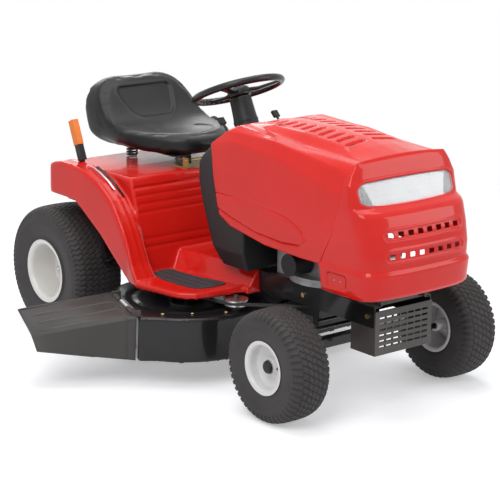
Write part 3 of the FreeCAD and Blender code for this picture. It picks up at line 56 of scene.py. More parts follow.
BASE = np.array([(REAR_RIGHT[0] + REAR_LEFT[0]) / 2, REAR_RIGHT[1], 0.0])
NODES = frame["nodes"]


def P(x, y, z):
    """A millimetre point as a vector in the frame's metres."""
    return Vector((x / 1000 + BASE[0], y / 1000 + BASE[1], z / 1000))


def F(points):
    """An array of millimetre points as frame metres."""
    return np.asarray(points, float) / 1000 + BASE


def placed(name, data):
    """A new object, linked to the scene."""
    obj = bpy.data.objects.new(name, data)
    bpy.context.scene.collection.objects.link(obj)
    return obj


# ---- camera, light and floor
CAMERA_PLACE = (-3786.3, -5309.5, 1935.6)
CAMERA_LENS = 126.0
AZIMUTH, TILT, ROLL = 0.6805, 0.2533, 0.0085
SKY, SKY_STRENGTH = (0.9, 0.93, 1.0, 1), 0.42
WHITE = (1, 1, 1, 1)
PAPER, PAPER_GLOW = (0.86, 0.86, 0.87, 1), 0.36
FLOOR_SIZE = 40
# The floor turns into the plain white background between these distances, in metres.
FLOOR_FADE = (1.5, 3.2)


def camera():
    """A long lens from the front right, a little above the hood."""
    azimuth, tilt, roll = AZIMUTH, TILT, ROLL
    ahead = Vector((math.sin(azimuth) * math.cos(tilt), math.cos(azimuth) * math.cos(tilt),
                    -math.sin(tilt)))
    right = ahead.cross(Vector((0, 0, 1))).normalized()
    up = right.cross(ahead)
    r = right * math.cos(roll) + up * math.sin(roll)
    u = up * math.cos(roll) - right * math.sin(roll)
    data = bpy.data.cameras.new("camera")
    data.lens = CAMERA_LENS
    data.sensor_width = 36
    data.clip_end = 100
    cam = placed("camera", data)
    rot = Matrix((r, u, -ahead)).transposed().to_4x4()
    cam.matrix_world = Matrix.Translation(P(*CAMERA_PLACE)) @ rot
    bpy.context.scene.camera = cam


camera()


def area_lamp(name, place, aim, size, power):
    """A rectangular lamp at a place, turned to its aim, both in millimetres."""
    data = bpy.data.lights.new(name, "AREA")
    data.shape = "RECTANGLE"
    data.size, data.size_y = size
    data.energy = power
    lamp = placed(name, data)
    lamp.location = P(*place)
    lamp.rotation_euler = (P(*aim) - lamp.location).to_track_quat("-Z", "Y").to_euler()


def node_tree(owner):
    owner.use_nodes = True
    return owner.node_tree


def add_node(tree, kind, **inputs):
    """A new shader node; each named input gets its value, or a link where a socket is given."""
    made = tree.nodes.new(f"ShaderNode{kind}")
    for name, value in inputs.items():
        socket = made.inputs[name.replace("_", " ")]
        if isinstance(value, bpy.types.NodeSocket):
            tree.links.new(value, socket)
        else:
            socket.default_value = value
    return made


def joined(tree, kind, first, second, **inputs):
    """The output of a shader node that adds or mixes two shaders."""
    made = add_node(tree, kind, **inputs)
    for socket, source in zip(made.inputs[-2:], (first, second)):
        tree.links.new(source.outputs[0], socket)
    return made


def shown_rays(tree):
    """A socket that is 1 for the rays that show the background: camera, glossy, transmission."""
    path = add_node(tree, "LightPath")
    total = path.outputs["Is Camera Ray"]
    for kind in ("Is Glossy Ray", "Is Transmission Ray"):
        seen = add_node(tree, "Math")
        seen.operation = "MAXIMUM"
        tree.links.new(total, seen.inputs[0])
        tree.links.new(path.outputs[kind], seen.inputs[1])
        total = seen.outputs[0]
    return total


def world_and_floor():
    """Soft sky light, a pale floor that keeps the shadow, and a plain white background."""
    scene = bpy.context.scene
    scene.view_settings.view_transform = "Standard"
    scene.world = bpy.data.worlds.new("world")
    tree = node_tree(scene.world)
    tree.nodes.clear()
    soft = add_node(tree, "Background", Color=SKY, Strength=SKY_STRENGTH)
    white = add_node(tree, "Background", Color=WHITE, Strength=1.0)
    sky = joined(tree, "MixShader", soft, white, Fac=shown_rays(tree))
    add_node(tree, "OutputWorld", Surface=sky.outputs[0])

    bpy.ops.mesh.primitive_plane_add(size=FLOOR_SIZE, location=(0, 0, 0))
    floor = bpy.context.object
    floor.name = "floor"
    paint = bpy.data.materials.new("floor_paper")
    tree = node_tree(paint)
    tree.nodes.clear()
    paper = add_node(tree, "BsdfDiffuse", Color=PAPER)
    glow = add_node(tree, "Emission", Strength=PAPER_GLOW)
    near = joined(tree, "AddShader", paper, glow)
    far = add_node(tree, "VectorMath")
    far.operation = "LENGTH"
    tree.links.new(add_node(tree, "TexCoord").outputs["Object"], far.inputs[0])
    ease = add_node(tree, "MapRange", Value=far.outputs["Value"], From_Min=FLOOR_FADE[0],
                    From_Max=FLOOR_FADE[1])
    ease.interpolation_type = "SMOOTHSTEP"
    white = add_node(tree, "Emission", Color=WHITE, Strength=1.0)
    shown = joined(tree, "MixShader", near, white, Fac=ease.outputs["Result"])
    whole = joined(tree, "MixShader", paper, shown, Fac=shown_rays(tree))
    add_node(tree, "OutputMaterial", Surface=whole.outputs[0])
    floor.data.materials.append(paint)


world_and_floor()
area_lamp("key", (-3200, -2600, 3600), (-100, -600, 400), (2.4, 2.4), 95)
area_lamp("overhead", (0, -600, 3400), (0, -600, 400), (3.2, 2.6), 60)
area_lamp("fill", (2600, -4200, 1900), (0, -800, 500), (2.2, 2.2), 45)
area_lamp("rim", (1500, 3200, 2600), (0, -300, 500), (2.4, 1.6), 40)


# ---- materials
def material(name, color, rough, metal=0.0, coat=0.0, coat_rough=0.05, vary=0.12, vary_scale=6.0,
             grain=0.0, grain_scale=300.0, grain_kind="noise", rough_vary=0.08, ior=1.5,
             specular=0.5, transmission=0.0):
    """A principled material whose colour, roughness and surface vary by procedural noise."""
    mat = bpy.data.materials.new(name)
    tree = node_tree(mat)
    shader = tree.nodes["Principled BSDF"]
    for socket, value in (("Metallic", metal), ("IOR", ior), ("Coat Weight", coat),
                          ("Coat Roughness", coat_rough), ("Specular IOR Level", specular),
                          ("Transmission Weight", transmission)):
        shader.inputs[socket].default_value = value
    where = add_node(tree, "TexCoord").outputs["Object"]
    cloud = add_node(tree, "TexNoise", Vector=where, Scale=vary_scale, Detail=5.0).outputs["Fac"]
    ramp = add_node(tree, "ValToRGB", Fac=cloud)
    low, high = ramp.color_ramp.elements
    low.position, high.position = 0.3, 0.72
    low.color = (*(c * (1 - vary) for c in color), 1)
    high.color = (*(min(1.0, c * (1 + vary * 0.6) + 0.002) for c in color), 1)
    tree.links.new(ramp.outputs["Color"], shader.inputs["Base Color"])
    spread = add_node(tree, "MapRange", Value=cloud, To_Min=max(0.02, rough - rough_vary / 2),
                      To_Max=rough + rough_vary / 2)
    tree.links.new(spread.outputs["Result"], shader.inputs["Roughness"])
    if grain:
        if grain_kind == "brushed":
            where = add_node(tree, "Mapping", Vector=where, Scale=(1, 12, 12)).outputs["Vector"]
        if grain_kind == "leather":
            fine = add_node(tree, "TexVoronoi", Vector=where, Scale=grain_scale)
            fine.feature = "SMOOTH_F1"
            height = fine.outputs["Distance"]
        else:
            fine = add_node(tree, "TexNoise", Vector=where, Scale=grain_scale, Detail=3.0)
            height = fine.outputs["Fac"]
        bump = add_node(tree, "Bump", Height=height, Strength=grain, Distance=0.001)
        tree.links.new(bump.outputs["Normal"], shader.inputs["Normal"])
    return mat


RED = material("red_paint", (0.67, 0.013, 0.008), 0.25, coat=0.45, coat_rough=0.04, vary=0.05,
               grain=0.03, grain_scale=90, specular=0.08)
BLACK_PAINT = material("black_paint", (0.011, 0.011, 0.012), 0.3, coat=0.5, coat_rough=0.08,
                       vary=0.3, grain=0.05, grain_scale=70, specular=0.1)
BLACK_PLASTIC = material("black_plastic", (0.018, 0.018, 0.019), 0.42, vary=0.2, grain=0.25,
                         grain_scale=900, specular=0.25)
SATIN_BLACK = material("satin_black", (0.012, 0.012, 0.013), 0.28, vary=0.2, grain=0.12,
                       grain_scale=500, specular=0.35)
CHUTE = material("chute_plastic", (0.050, 0.045, 0.043), 0.45, vary=0.16, grain=0.3,
                 grain_scale=600, rough_vary=0.14, specular=0.35)
TYRE = material("tyre_rubber", (0.040, 0.036, 0.035), 0.62, vary=0.25, vary_scale=12, grain=0.35,
                grain_scale=700, rough_vary=0.16, specular=0.35)
RIM = material("rim_paint", (0.70, 0.69, 0.68), 0.34, coat=0.4, coat_rough=0.2, vary=0.06,
               grain=0.06, grain_scale=120)
REAR_RIM = material("rear_rim_paint", (0.78, 0.76, 0.72), 0.36, coat=0.4, coat_rough=0.2,
                    vary=0.07, grain=0.06, grain_scale=120)
VINYL = material("seat_vinyl", (0.008, 0.008, 0.008), 0.34, vary=0.25, grain=0.3,
                 grain_scale=520, grain_kind="leather", rough_vary=0.12, specular=0.28)
STEEL = material("bare_steel", (0.60, 0.60, 0.61), 0.3, metal=1.0, vary=0.15, grain=0.2,
                 grain_scale=260, grain_kind="brushed")
CAST = material("cast_metal", (0.36, 0.36, 0.37), 0.55, metal=0.7, vary=0.3, vary_scale=25,
                grain=0.7, grain_scale=420)
CHROME = material("reflector_silver", (0.40, 0.40, 0.41), 0.42, metal=0.4, vary=0.22, vary_scale=30,
                  grain=0.5, grain_scale=120, specular=0.3)
LENS = material("lens_clear", (0.97, 0.98, 1.0), 0.05, coat=1.0, coat_rough=0.03, vary=0.02,
                transmission=1.0, ior=1.35, rough_vary=0.02)
ORANGE = material("orange_grip", (0.80, 0.20, 0.02), 0.42, vary=0.1, grain=0.2, grain_scale=500)
MAT = material("mat_rubber", (0.045, 0.045, 0.05), 0.6, vary=0.25, grain=0.4, grain_scale=600)
ZINC = material("brass_zinc", (0.62, 0.46, 0.20), 0.32, metal=1.0, vary=0.25, vary_scale=40,
                grain=0.2, grain_scale=300)
DARK = material("dark_steel", (0.055, 0.047, 0.043), 0.45, vary=0.25, vary_scale=15, grain=0.3,
                grain_scale=260)
BELT = material("belt_rubber", (0.03, 0.03, 0.03), 0.7, vary=0.3, grain=0.4, grain_scale=900)
BY_SLOT = {
    "red_paint": RED, "black_paint": BLACK_PAINT, "black_plastic": BLACK_PLASTIC,
    "chute_plastic": CHUTE, "tyre_rubber": TYRE, "rim_paint": RIM, "seat_vinyl": VINYL,
    "bare_steel": STEEL, "cast_metal": CAST, "clear_lens": LENS, "reflector": CHROME,
    "orange_grip": ORANGE, "mat_rubber": MAT, "brass_zinc": ZINC, "dark_steel": DARK,
    "belt_rubber": BELT,
}
SLOT_OF = {row["node"]: row["material_slot"] for row in frame["record"]["subparts"]}
for name, obj in NODES.items():
    obj.data.materials.clear()
    obj.data.materials.append(BY_SLOT[SLOT_OF[name]])
# The springs are steel like the other bare pieces, but they get the dark material: painted shade, because they
# look dark in the shade under the seat.
NODES["seat_springs"].data.materials[0] = DARK


# ---- mesh helpers
def piece(name, mesh, mat, body, *replaced, smooth=True, slot=None):
    """A mesh as a shown piece that rides on a body and stands for some CAD nodes."""
    obj = placed(name, mesh)
    mesh.materials.append(mat)
    if smooth:
        mesh.shade_smooth()
    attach(obj, body)
    if replaced:
        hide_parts(*replaced)
    return obj


def mesh_of(name, points, faces):
    """A mesh from millimetre points."""
    mesh = bpy.data.meshes.new(name)
    mesh.from_pydata([tuple(p) for p in F(points)], [], [tuple(f) for f in faces])
    mesh.update()
    return mesh


def grid_faces(rows, columns, wrap_rows=False, wrap_columns=False):
    """The quads of a grid of points, closed round in either direction where asked."""
    index = np.arange(rows * columns).reshape(rows, columns)
    if wrap_rows:
        index = np.vstack([index, index[:1]])
    if wrap_columns:
        index = np.hstack([index, index[:, :1]])
    faces = np.stack([index[:-1, :-1], index[:-1, 1:], index[1:, 1:], index[1:, :-1]], -1)
    return faces.reshape(-1, 4)


def grid(name, points, wrap_rows=False, wrap_columns=False, flip=False):
    """A mesh through rows and columns of points."""
    rows, columns = points.shape[:2]
    faces = grid_faces(rows, columns, wrap_rows, wrap_columns)
    if flip:
        faces = faces[:, ::-1]
    return mesh_of(name, points.reshape(-1, 3), faces)


def painted(mesh, mat, share, least):
    """Gives a grid's faces a second material where their corners' share is above the least."""
    mesh.materials.append(mat)
    inside = (share[:-1, :-1] > least) & (share[1:, 1:] > least)
    mesh.polygons.foreach_set("material_index", inside.ravel().astype(np.int32))


def rounded(points, times=2, closed=False):
    """Chaikin corner cutting on a polyline."""
    points = np.asarray(points, float)
    for _ in range(times):
        after = np.roll(points, -1, 0)
        a = points * 0.75 + after * 0.25
        b = points * 0.25 + after * 0.75
        both = np.stack([a, b], 1).reshape(-1, points.shape[1])
        points = both if closed else np.vstack([points[:1], both[:-2], points[-1:]])
    return points


def soft_step(low, high, value):
    """0 below low, 1 above high, and a smooth rise between them."""
    t = np.clip((value - low) / (high - low), 0, 1)
    return t * t * (3 - 2 * t)


def run_along(line):
    """The distance along a polyline at each of its points."""
    return np.concatenate([[0], np.cumsum(np.linalg.norm(np.diff(line, axis=0), axis=1))])


def ridge(away, width):
    """A smooth bump, 1 where away is 0 and nearly 0 from two widths on."""
    return np.exp(-(away / width) ** 2)


def lathe(profile, centre, axis="x", side=1, steps=96):
    """Grid points of a profile of (along, radius) turned about an axis through centre."""
    turn = np.linspace(0, 2 * np.pi, steps, endpoint=False)
    along = np.repeat(profile[None, :, 0], steps, 0) * side
    radius = np.repeat(profile[None, :, 1], steps, 0)
    a = radius * np.cos(turn)[:, None]
    b = radius * np.sin(turn)[:, None]
    order = {"x": (along, a, b), "y": (a, along, b), "z": (a, b, along)}[axis]
    return np.stack(order, -1) + np.asarray(centre, float)


def across_line(line):
    """The unit normal of a flat polyline at each of its points."""
    step = np.gradient(line, axis=0)
    normal = np.stack([-step[:, 1], step[:, 0]], -1)
    return normal / np.linalg.norm(normal, axis=1)[:, None]


def sheet_profile(line, thickness):
    """A closed outline round a polyline: the line and its copy one thickness inside."""
    return np.vstack([line, (line + across_line(line) * thickness)[::-1]])


def with_modifier(obj, kind, **settings):
    modifier = obj.modifiers.new(kind.lower(), kind)
    for key, value in settings.items():
        setattr(modifier, key, value)
    return modifier


def sheet(obj, thickness):
    """Gives a surface its thickness in millimetres, on its inner side."""
    with_modifier(obj, "SOLIDIFY", thickness=thickness / 1000, offset=-1)


def baked(obj):
    """The evaluated mesh of an object, which is then removed."""
    bpy.context.view_layer.update()
    graph = bpy.context.evaluated_depsgraph_get()
    mesh = bpy.data.meshes.new_from_object(obj.evaluated_get(graph))
    bpy.data.objects.remove(obj)
    return mesh


@contextmanager
def editing(mesh):
    """A BMesh of the mesh, written back at the end of the block."""
    tool = bmesh.new()
    tool.from_mesh(mesh)
    yield tool
    tool.to_mesh(mesh)
    tool.free()


def closed(mesh, weld=None):
    """The mesh with its normals outward, after points closer than weld are joined."""
    with editing(mesh) as tool:
        if weld:
            bmesh.ops.remove_doubles(tool, verts=tool.verts, dist=weld)
        bmesh.ops.recalc_face_normals(tool, faces=tool.faces)
    return mesh


PLACE = {
    "x": lambda a, b, c: (c, a, b),
    "y": lambda a, b, c: (a, c, b),
    "z": lambda a, b, c: (a, b, c),
}


def prism(points, axis, low, high):
    """A solid with one outline across the axis, from low to high."""
    count = len(points)
    spots = [PLACE[axis](a, b, level) for level in (low, high) for a, b in points]
    faces = [tuple(range(count)), tuple(range(2 * count - 1, count - 1, -1))]
    faces += [(i + count, (i + 1) % count + count, (i + 1) % count, i) for i in range(count)]
    return closed(mesh_of("prism", spots, faces))


def combined(first, *steps):
    """The first mesh after boolean steps, each given as (operation, mesh)."""
    obj = placed("loose", first)
    tools = []
    for way, mesh in steps:
        tool = placed("loose", mesh)
        tools.append(tool)
        with_modifier(obj, "BOOLEAN", operation=way, object=tool, solver="EXACT")
    mesh = baked(obj)
    for tool in tools:
        bpy.data.objects.remove(tool)
    return mesh


def mirrored(points):
    """Points and then their mirror images across the first coordinate, as one outline."""
    return points + [(-a, b) for a, b in reversed(points)]


def arrays_of(mesh):
    """The mesh's points in millimetres, and its edges."""
    points = np.empty(len(mesh.vertices) * 3)
    mesh.vertices.foreach_get("co", points)
    edges = np.empty(len(mesh.edges) * 2, int)
    mesh.edges.foreach_get("vertices", edges)
    return (points.reshape(-1, 3) - BASE) * 1000, edges.reshape(-1, 2)


def put_points(mesh, points):
    mesh.vertices.foreach_set("co", F(points).ravel())
    mesh.update()


def relaxed(points, edges, times, pull=0.5):
    """Points drawn towards the middle of their neighbours."""
    a, b = edges.T
    count = np.bincount(a, minlength=len(points)) + np.bincount(b, minlength=len(points))
    count = np.maximum(count, 1)
    for _ in range(times):
        total = np.stack([np.bincount(a, points[b, k], len(points))
                          + np.bincount(b, points[a, k], len(points)) for k in range(3)], -1)
        points = points + (total / count[:, None] - points) * pull
    return points


def moulded(mesh, voxel, rounds, shape=None):
    """The mesh with every edge rounded: remeshed in voxels, relaxed and then shaped."""
    obj = placed("loose", mesh)
    with_modifier(obj, "REMESH", mode="VOXEL", voxel_size=voxel / 1000)
    mesh = baked(obj)
    points, edges = arrays_of(mesh)
    points = relaxed(points, edges, rounds)
    if shape:
        points = relaxed(shape(points), edges, 1, 0.3)
    put_points(mesh, points)
    return mesh


def trimmed(mesh, drop):
    """The mesh without the faces whose centre and normal the test picks out."""
    with editing(mesh) as tool:
        gone = [face for face in tool.faces
                if drop((np.array(face.calc_center_median()) - BASE) * 1000, face.normal)]
        bmesh.ops.delete(tool, geom=gone, context="FACES")
    mesh.update()
    return mesh


def bar(name, line, radius, mat, body, *replaced, sides=16):
    """A round bar along a polyline of millimetre points, with rounded bends."""
    data = bpy.data.curves.new(name, "CURVE")
    data.dimensions = "3D"
    data.bevel_depth = radius / 1000
    data.bevel_resolution = sides // 4
    data.use_fill_caps = True
    spline = data.splines.new("POLY")
    spline.points.add(len(line) - 1)
    for point, spot in zip(spline.points, F(line)):
        point.co = (*spot, 1)
    return piece(name, baked(placed(name, data)), mat, body, *replaced)


def soft_box(name, centre, size, mat, body, edge=2.0):
    """A box with rounded edges."""
    tool = bmesh.new()
    bmesh.ops.create_cube(tool, size=1.0)
    bmesh.ops.scale(tool, vec=Vector(size), verts=tool.verts)
    bmesh.ops.bevel(tool, geom=tool.edges[:], offset=edge, segments=3, profile=0.5,
                    affect="EDGES")
    for vert in tool.verts:
        vert.co = P(*(vert.co + Vector(centre)))
    mesh = bpy.data.meshes.new(name)
    tool.to_mesh(mesh)
    tool.free()
    return piece(name, mesh, mat, body)


def turned(name, profile, centre, mat, body, *replaced, axis="x", side=1, steps=64, rounds=1,
           turn=None):
    """A solid of revolution from a profile of (along, radius) that starts and ends on the axis."""
    line = rounded(profile, rounds)
    points = lathe(line, (0, 0, 0), axis, side, steps)
    if turn is not None:
        points = points @ np.array(turn.to_matrix()).T
    mesh = closed(grid(name, points + np.array(centre, float), wrap_rows=True), weld=1e-6)
    return piece(name, mesh, mat, body, *replaced)


# ---- tyres and rims
def tread_front(turn, across, pitch):
    """1 on a lug and 0 in a groove, for arc length, distance across and pitch in millimetres."""
    crown, row_width = 47, 18.8
    shoulder = np.abs(across) > crown
    offset = np.where(across > 0, 0.0, pitch / 2)
    phase = ((turn + offset + 0.12 * (np.abs(across) - crown)) % pitch) / pitch
    lug = soft_step(0.02, 0.12, phase) * (1 - soft_step(0.62, 0.72, phase))
    rows = (across + crown) / row_width
    row = np.floor(rows)
    wave = 3.6 * np.sin(rows * np.pi * 2)
    mid_phase = ((turn + wave + row * pitch * 0.5) % pitch) / pitch
    block = soft_step(0.0, 0.1, mid_phase) * (1 - soft_step(0.78, 0.9, mid_phase))
    snake = 2.4 * np.sin(turn / pitch * 2 * np.pi)
    for middle in np.array((-1.5, -0.5, 0.5, 1.5)) * row_width:
        block = block * soft_step(0.8, 2.0, np.abs(across - middle - snake))
    edge = soft_step(1.2, 2.4, np.abs(np.abs(across) - crown))
    return np.where(shoulder, lug, block) * edge


def tread_rear(turn, across, pitch):
    """The rear tyre's finer pattern, in the same terms."""
    wave = 3.2 * np.sin(across / 26 * np.pi * 2) + 0.1 * np.abs(across)
    phase = ((turn + wave) % pitch) / pitch
    block = soft_step(0.0, 0.1, phase) * (1 - soft_step(0.74, 0.86, phase))
    snake = 2.2 * np.sin(turn / pitch * np.pi)
    for middle in (-64, -38, -13, 13, 38, 64):
        block = block * (0.45 + 0.55 * soft_step(0.6, 1.8, np.abs(across - middle - snake)))
    return block


def tyre(kind, side_name, tread, lugs, depth, steps):
    """A tyre turned from half its section, with its tread sunk between the lugs."""
    node = f"{kind}_tyre_{side_name}"
    body = f"{kind}_wheel_{side_name}"
    low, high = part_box(node)
    radius = (high.z - low.z) * 500
    half = (high.x - low.x) * 500
    centre = (np.array((low + high) / 2) - BASE) * 1000
    flange, lip = {"front": (89.7, 63.9), "rear": (118.6, 93.4)}[kind]
    middle = (radius + flange) / 2
    shoulder = half * 0.94
    quarter = [(0, radius), (half * 0.35, radius - 0.4), (half * 0.62, radius - 2.2),
               (half * 0.8, radius - 6.5), (shoulder, radius - 17),
               (half * 0.99, radius - 32), (half, middle + 6),
               (half * 0.985, middle - 12), (half * 0.93, flange + 12),
               (half * 0.885, flange + 4), (lip + 1, flange + 2.5), (lip, flange - 3),
               (lip, flange - 12)]
    line = rounded(quarter, 3)
    length = run_along(line)
    fine = np.linspace(0, length[-1], 64)
    line = np.stack([np.interp(fine, length, line[:, k]) for k in range(2)], -1)
    across = np.concatenate([-fine[:0:-1], fine])
    full = np.vstack([line[:0:-1] * (-1, 1), line])
    normal = across_line(full)
    turn = np.linspace(0, 2 * np.pi, steps, endpoint=False)
    arc, reach = np.meshgrid(turn * radius, across, indexing="ij")
    edge = np.interp(radius - 30, line[::-1, 1], fine[::-1])
    on_tread = 1 - soft_step(edge - 1, edge + 2.5, np.abs(reach))
    sink = depth * (1 - tread(arc, reach, 2 * np.pi * radius / lugs)) * on_tread
    side_wall = soft_step(edge + 1, edge + 3, np.abs(reach))
    ring = np.abs(np.abs(reach) - edge - 16)
    sink = sink + side_wall * (1.6 - 1.5 * (1 - soft_step(1.2, 2.6, ring)))
    ribs = 0.5 + 0.5 * np.cos(turn * 120)[:, None]
    band = soft_step(edge + 24, edge + 26, np.abs(reach)) * (
        1 - soft_step(edge + 34, edge + 36, np.abs(reach)))
    sink = sink - side_wall * band * ribs * 0.9
    along = full[None, :, 0] - normal[None, :, 0] * sink
    out = full[None, :, 1] - np.abs(normal[None, :, 1]) * sink
    points = np.stack([along, out * np.cos(turn)[:, None], out * np.sin(turn)[:, None]], -1)
    mesh = grid(f"{node}_tread", points + centre, wrap_rows=True)
    piece(f"{node}_tread", mesh, TYRE, body, node)


SIDES = (("right", -1), ("left", 1))
for side_name, _ in SIDES:
    tyre("front", side_name, tread_front, 50, 4.6, 800)
    tyre("rear", side_name, tread_rear, 76, 4.2, 1000)


def rims(side_name, side):
    """Pressed steel wheels: a thin sheet turned from the flange down to the hub."""
    for kind, line, hub, mat in (
        ("front", [(-66.4, 85), (-66.2, 89.5), (-63.5, 88), (-63, 76), (-50, 75.5), (0, 74.8),
                   (50, 75.5), (63, 76), (63.5, 88), (66.3, 89.6), (66.2, 84.5), (60, 74),
                   (57, 72.2), (40, 71.6), (30, 70.8), (26, 66), (22, 60), (20.5, 50), (22, 38),
                   (26, 31), (34, 27), (38.5, 24)], 38, RIM),
        ("rear", [(-95.8, 113), (-95.6, 118.4), (-93, 116), (-92.6, 101.2), (-70, 100.6), (0, 100),
                  (70, 100.6), (92.6, 101.2), (93, 116), (95.8, 118.4), (95.6, 112), (88, 99),
                  (82, 97.2), (20, 96.6), (-6, 95), (-13, 90), (-15.5, 84), (-17.5, 60), (-15, 48),
                  (-8, 44), (-6, 36), (-12, 30), (-17, 27)], 22, REAR_RIM),
    ):
        node = f"{kind}_rim_{side_name}" if kind == "front" else f"rear_rim_and_axle_{side_name}"
        body = f"{kind}_wheel_{side_name}"
        centre = (np.array(JOINTS[f"{body}_spin"]["pos_m"]) - BASE) * 1000
        profile = rounded(line, 2)
        closed = sheet_profile(profile, -2.2)
        mesh = grid(f"{kind}_disc_{side_name}", lathe(closed, centre, "x", side, 128),
                    wrap_rows=True, wrap_columns=True)
        piece(mesh.name, mesh, mat, body, node)
        rim_hub = [(-52, 9.6), (-52, 19), (hub - 2, 19), (hub, 17.5), (hub, 9.6), (-52, 9.6)]
        turned(f"{kind}_hub_{side_name}", rim_hub, centre, mat, body, side=side, rounds=0)
        if kind == "front":
            cap = [(38.5, 0), (38.5, 21), (46, 21), (50, 18), (52, 13), (52, 0)]
            turned(f"hub_cap_{side_name}", cap, centre, BLACK_PLASTIC, body,
                   f"front_cap_{side_name}", side=side, rounds=2)
            stem = [(21, 0), (21, 5), (24, 5), (26, 3.8), (38, 3.4), (40, 4.2), (48, 4.2), (49, 3),
                    (49.5, 0)]
            turned(f"valve_stem_{side_name}", stem, centre + (0, -52, 8), BLACK_PLASTIC, body,
                   side=side, steps=20)
        else:
            shaft = [(-100, 0), (-100, 9.4), (38, 9.4), (40, 8), (40, 0)]
            turned(f"axle_end_{side_name}", shaft, centre, STEEL, body, side=side, steps=40)
            washer = [(22, 9.6), (22, 16), (24, 16), (24, 9.6), (22, 9.6)]
            turned(f"axle_washer_{side_name}", washer, centre, STEEL, body, side=side, rounds=0)
            for index in range(5):
                angle = 2 * np.pi * index / 5 + 0.3
                spot = centre + (0, 68 * np.cos(angle), 68 * np.sin(angle))
                bolt = [(-17, 0), (-17, 7.5), (-11, 7.5), (-10, 6), (-10, 0)]
                turned(f"rim_bolt_{side_name}_{index}", bolt, spot, STEEL, body, side=side, steps=6,
                       rounds=0)


for side_name, side in SIDES:
    rims(side_name, side)


# ---- hood
def hood():
    """One surface from side to side, swept from the nose seam to the rear edge."""
    # corner lines of the half section, from the lower edge (0) to the crown's middle (1)
    spots = np.array([0, 0.34, 0.47, 0.60, 0.66, 0.72, 0.80, 0.90, 1.0])
    columns, rows = 150, 230
    half = np.linspace(0, 1, columns)
    section = np.concatenate([half, half[-2::-1]])
    side = np.concatenate([np.full(columns, -1.0), np.ones(columns - 1)])
    along = np.linspace(0, 1, rows)
    v, u = np.meshgrid(section, along, indexing="xy")
    way = np.meshgrid(side, along, indexing="xy")[0]
    # where each corner line starts and ends, and its place across and up at each y
    front = np.interp(v, spots, [-1267, -1330, -1366, -1376, -1383, -1385, -1385, -1385, -1385])
    rear = np.interp(v, spots, [-747, -715, -700, -770, -790, -775, -735, -708, -700])
    y = front + (rear - front) * u
    low = np.interp(y, [-1268, -1167, -992, -808, -747], [500, 499, 505, 534, 563])
    crease = np.interp(y, [-1385, -1261, -1048, -805, -700], [720, 757, 804, 820, 800])
    upper = np.interp(y, [-1385, -1180, -1008, -782, -700], [804, 835, 856, 856, 838])
    edge = np.interp(y, [-1385, -1106, -900, -799, -700], [834, 846, 866, 872, 842])
    crown = np.interp(y, [-1385, -1300, -1193, -1046, -894, -799, -700],
                      [848, 864, 879, 888, 886, 876, 848])
    swell = np.interp(y, [-1385, -1320, -1250, -850, -790, -700], [0, 0.2, 1, 1, 0.5, 0.1])
    body_x = np.interp(y, [-1385, -1268, -1000, -747], [229, 231, 231, 229])
    xs = [body_x, body_x + 0.5, body_x, 0 * y + 212, 0 * y + 188, 0 * y + 150,
          150 - 36 * swell, 0 * y + 58, 0 * y]
    step_up = (edge + 2) + (crown - edge - 2) * 0.72 * swell
    zs = [low, (low + crease) / 2, crease, upper, edge, edge + 1.5, step_up,
          crown - 3.5, crown]
    x = np.zeros_like(v)
    z = np.zeros_like(v)
    for index in range(len(spots) - 1):
        inside = (v >= spots[index]) & (v <= spots[index + 1])
        t = (v - spots[index]) / (spots[index + 1] - spots[index])
        x = np.where(inside, xs[index] * (1 - t) + xs[index + 1] * t, x)
        z = np.where(inside, zs[index] * (1 - t) + zs[index + 1] * t, z)
    x = x * way
    # the corner lines are rounded off across the section
    kernel = np.array([1, 3, 6, 9, 10, 9, 6, 3, 1.0])
    kernel /= kernel.sum()
    pad = 4
    for grid_values in (x, z):
        extended = np.concatenate([2 * grid_values[:, :1] - grid_values[:, pad:0:-1], grid_values,
                                   2 * grid_values[:, -1:] - grid_values[:, -2:-pad - 2:-1]], 1)
        grid_values[:] = np.stack([np.convolve(row, kernel, "valid") for row in extended])
    # the long embossed panel on each side
    top_line = np.interp(y, [-1195, -1185, -1166, -1114, -991, -808, -740],
                         [560, 578, 593, 614, 634, 636, 634])
    low_line = np.interp(y, [-1195, -1185, -1167, -1081, -947, -808, -740],
                         [556, 545, 534, 526, 534, 561, 580])
    inside = np.minimum(top_line - z, z - low_line)
    inside = np.minimum(inside, (y + 1196) * 0.8)
    panel = soft_step(-1, 6, inside)
    lip = ridge(inside - 1.5, 3.2)
    x = x + np.sign(x) * (np.abs(x) > 200) * (panel * 1.6 - lip * 2.6)
    # the crosswise slots in the crown
    slots, slot_depth = 10, 12
    sink = np.zeros_like(z)
    for index in range(slots):
        t = index / (slots - 1)
        middle = -1236 + 410 * t
        inner = 17 + 20 * t
        outer = 106 - 22 * t
        slant = (np.abs(x) - inner) * 0.10
        across = np.maximum(np.maximum(inner + 8 - np.abs(x), np.abs(x) - outer + 8), 0)
        away = np.sqrt(across ** 2 + (y - middle + slant) ** 2)
        sink = np.maximum(sink, 1 - soft_step(8.0, 10.6, away))
    mesh = grid("hood_panel", np.stack([x, y, z - sink * slot_depth], -1))
    obj = piece("hood_panel", mesh, RED, "hood", "hood_shell")
    painted(mesh, SATIN_BLACK, sink, 0.55)
    sheet(obj, 2.5)


hood()


